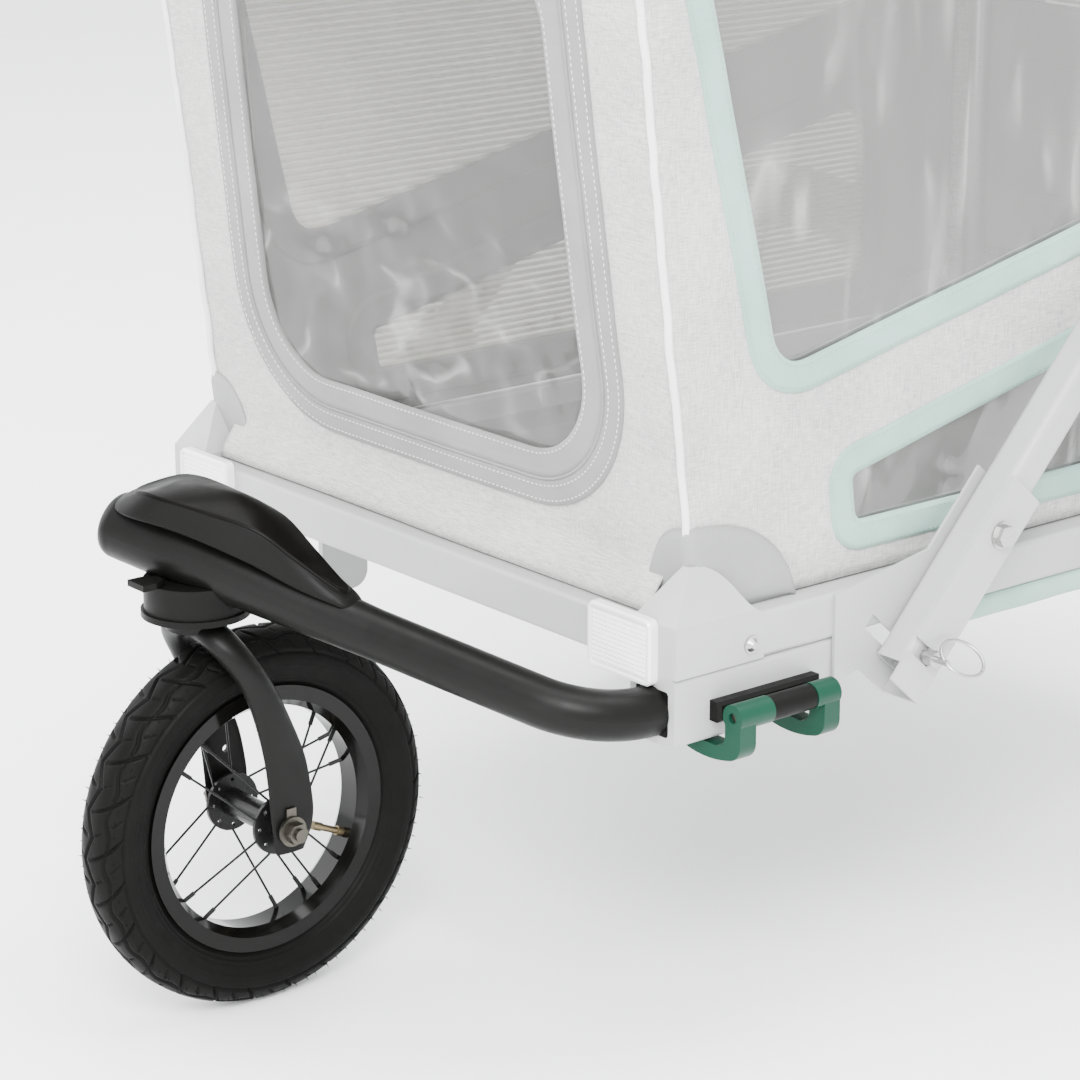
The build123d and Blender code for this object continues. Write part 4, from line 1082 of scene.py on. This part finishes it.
def cushion(name, low, high, crown, channels, axis, material, body):
    """Pad with pulled-in sides and sewn channels; axis is its thin direction."""
    low, high = Vector(low), Vector(high)
    long_axes = [k for k in range(3) if k != axis]
    nu, nv = 60, 60
    thick = (high[axis] - low[axis]) / 2
    rings = []
    for face in (1, -1):
        for j in range(nv + 1) if face > 0 else range(nv, -1, -1):
            ring = []
            for i in range(nu + 1):
                u, v = i / nu, j / nv
                edge = min(u, 1 - u, v, 1 - v)
                puff = math.sqrt(min(1, edge * 9)) if edge > 0 else 0
                seam = 1 - 0.45 * (1 - min(1, abs(((v * channels + 0.5) % 1) - 0.5) * 14))
                pull = 0.006 * dome(u, 0, 1) * (1 - min(1, min(v, 1 - v) * 8))
                point = Vector((0, 0, 0))
                point[long_axes[0]] = low[long_axes[0]] + (high[long_axes[0]] - low[long_axes[0]]) * u
                span = high[long_axes[1]] - low[long_axes[1]]
                point[long_axes[1]] = low[long_axes[1]] + pull + (span - 2 * pull) * v
                soft = 1 + crown * noise.noise(Vector((u * 4, v * 5, axis)))
                swell = face * thick * puff * seam * min(1.0, soft * 0.95)
                point[axis] = (low[axis] + high[axis]) / 2 + swell
                ring.append(point)
            rings.append(ring)
    verts, faces = rings_to_mesh(rings, closed_around=False, closed_along=True)
    piece = new_piece(name, verts, faces, material, body)
    shape = bmesh.new()
    shape.from_mesh(piece.data)
    bmesh.ops.remove_doubles(shape, verts=shape.verts, dist=0.0004)
    bmesh.ops.recalc_face_normals(shape, faces=shape.faces)
    shape.to_mesh(piece.data)
    shape.free()
    return piece


def make_seat():
    mat = cushion("floor_cushion", *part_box("floor_mat"), 0.1, 6, 2, LINER, "frame")
    stands_for("floor_mat")
    back = cushion("seat_back_pad", *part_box("seat_back"), 0.1, 4, 1, SEAT, "rear_hoop")
    stands_for("seat_back")
    low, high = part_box("seat_back")
    for side, name in SIDES:
        rings = []
        for k in range(25):
            share = k / 24
            z = high[2] - 0.01 - (high[2] - low[2] - 0.03) * share
            y = low[1] - 0.003 - 0.006 * math.sin(math.pi * share)
            x = side * (0.055 + 0.02 * share)
            rings.append([Vector((x + a, y - b, z)) for a, b in ((-0.0125, 0), (0.0125, 0), (0.0125, 0.0015),
                                                                 (-0.0125, 0.0015))])
        strap = skin(f"{name}_harness_strap", rings, BORDER, "rear_hoop", smooth=False, cap=True)


add_camera()
add_light("key", (2.6, -2.4, 3.0), (0, -0.2, 0.3), 1.8, 360)
add_light("fill", (-3.0, -2.0, 2.0), (0, 0, 0.4), 3.0, 110)
add_light("top", (0.3, 0.3, 3.6), (0, 0, 0.3), 3.0, 260)
add_light("rim", (-1.5, 3.0, 2.2), (0, 0, 0.5), 2.5, 60)
add_light("low_front", (1.2, -3.2, 0.7), (0, -0.5, 0.2), 1.2, 30)
world = bpy.data.worlds.new("studio")
bpy.context.scene.world = world
world.use_nodes = True
world.node_tree.nodes["Background"].inputs["Color"].default_value = (0.93, 0.94, 0.95, 1)
world.node_tree.nodes["Background"].inputs["Strength"].default_value = 3.0

FLOOR_REACH = 14.0
FLOOR = grained("studio_floor", (0.93, 0.93, 0.93), 0.8, grain=40, spread=0.01)
corners = [(FLOOR_REACH * a, FLOOR_REACH * b, 0) for a, b in ((-1, -1), (1, -1), (1, 1), (-1, 1))]
floor = new_piece("studio_floor", corners, [(0, 1, 2, 3)], FLOOR, "frame")

paint_nodes()
make_front()
make_sides()
make_rear_and_roof()
make_piping()
make_corner_patches()
stroller = make_tyre("stroller_tread", 0.155, 0.027, 0.1015, 0.016, 1320, 132, 25, "stroller_tyre",
                     "stroller_wheel")
make_hairs("stroller_hairs", stroller, 0.155, 0.027, "stroller_wheel", 170)
for wheel in ("left", "right"):
    make_tyre(f"{wheel}_tread", 0.254, 0.0235, 0.203, 0.012, 840, 56, 46, f"{wheel}_tyre", f"{wheel}_wheel")
make_cover()
make_reflector_pair("front_reflectors", -1, CLEAR_LENS)
make_reflector_pair("rear_reflectors", 1, RED_LENS)
make_handle_grip()
make_floor_skirts()
make_seat()
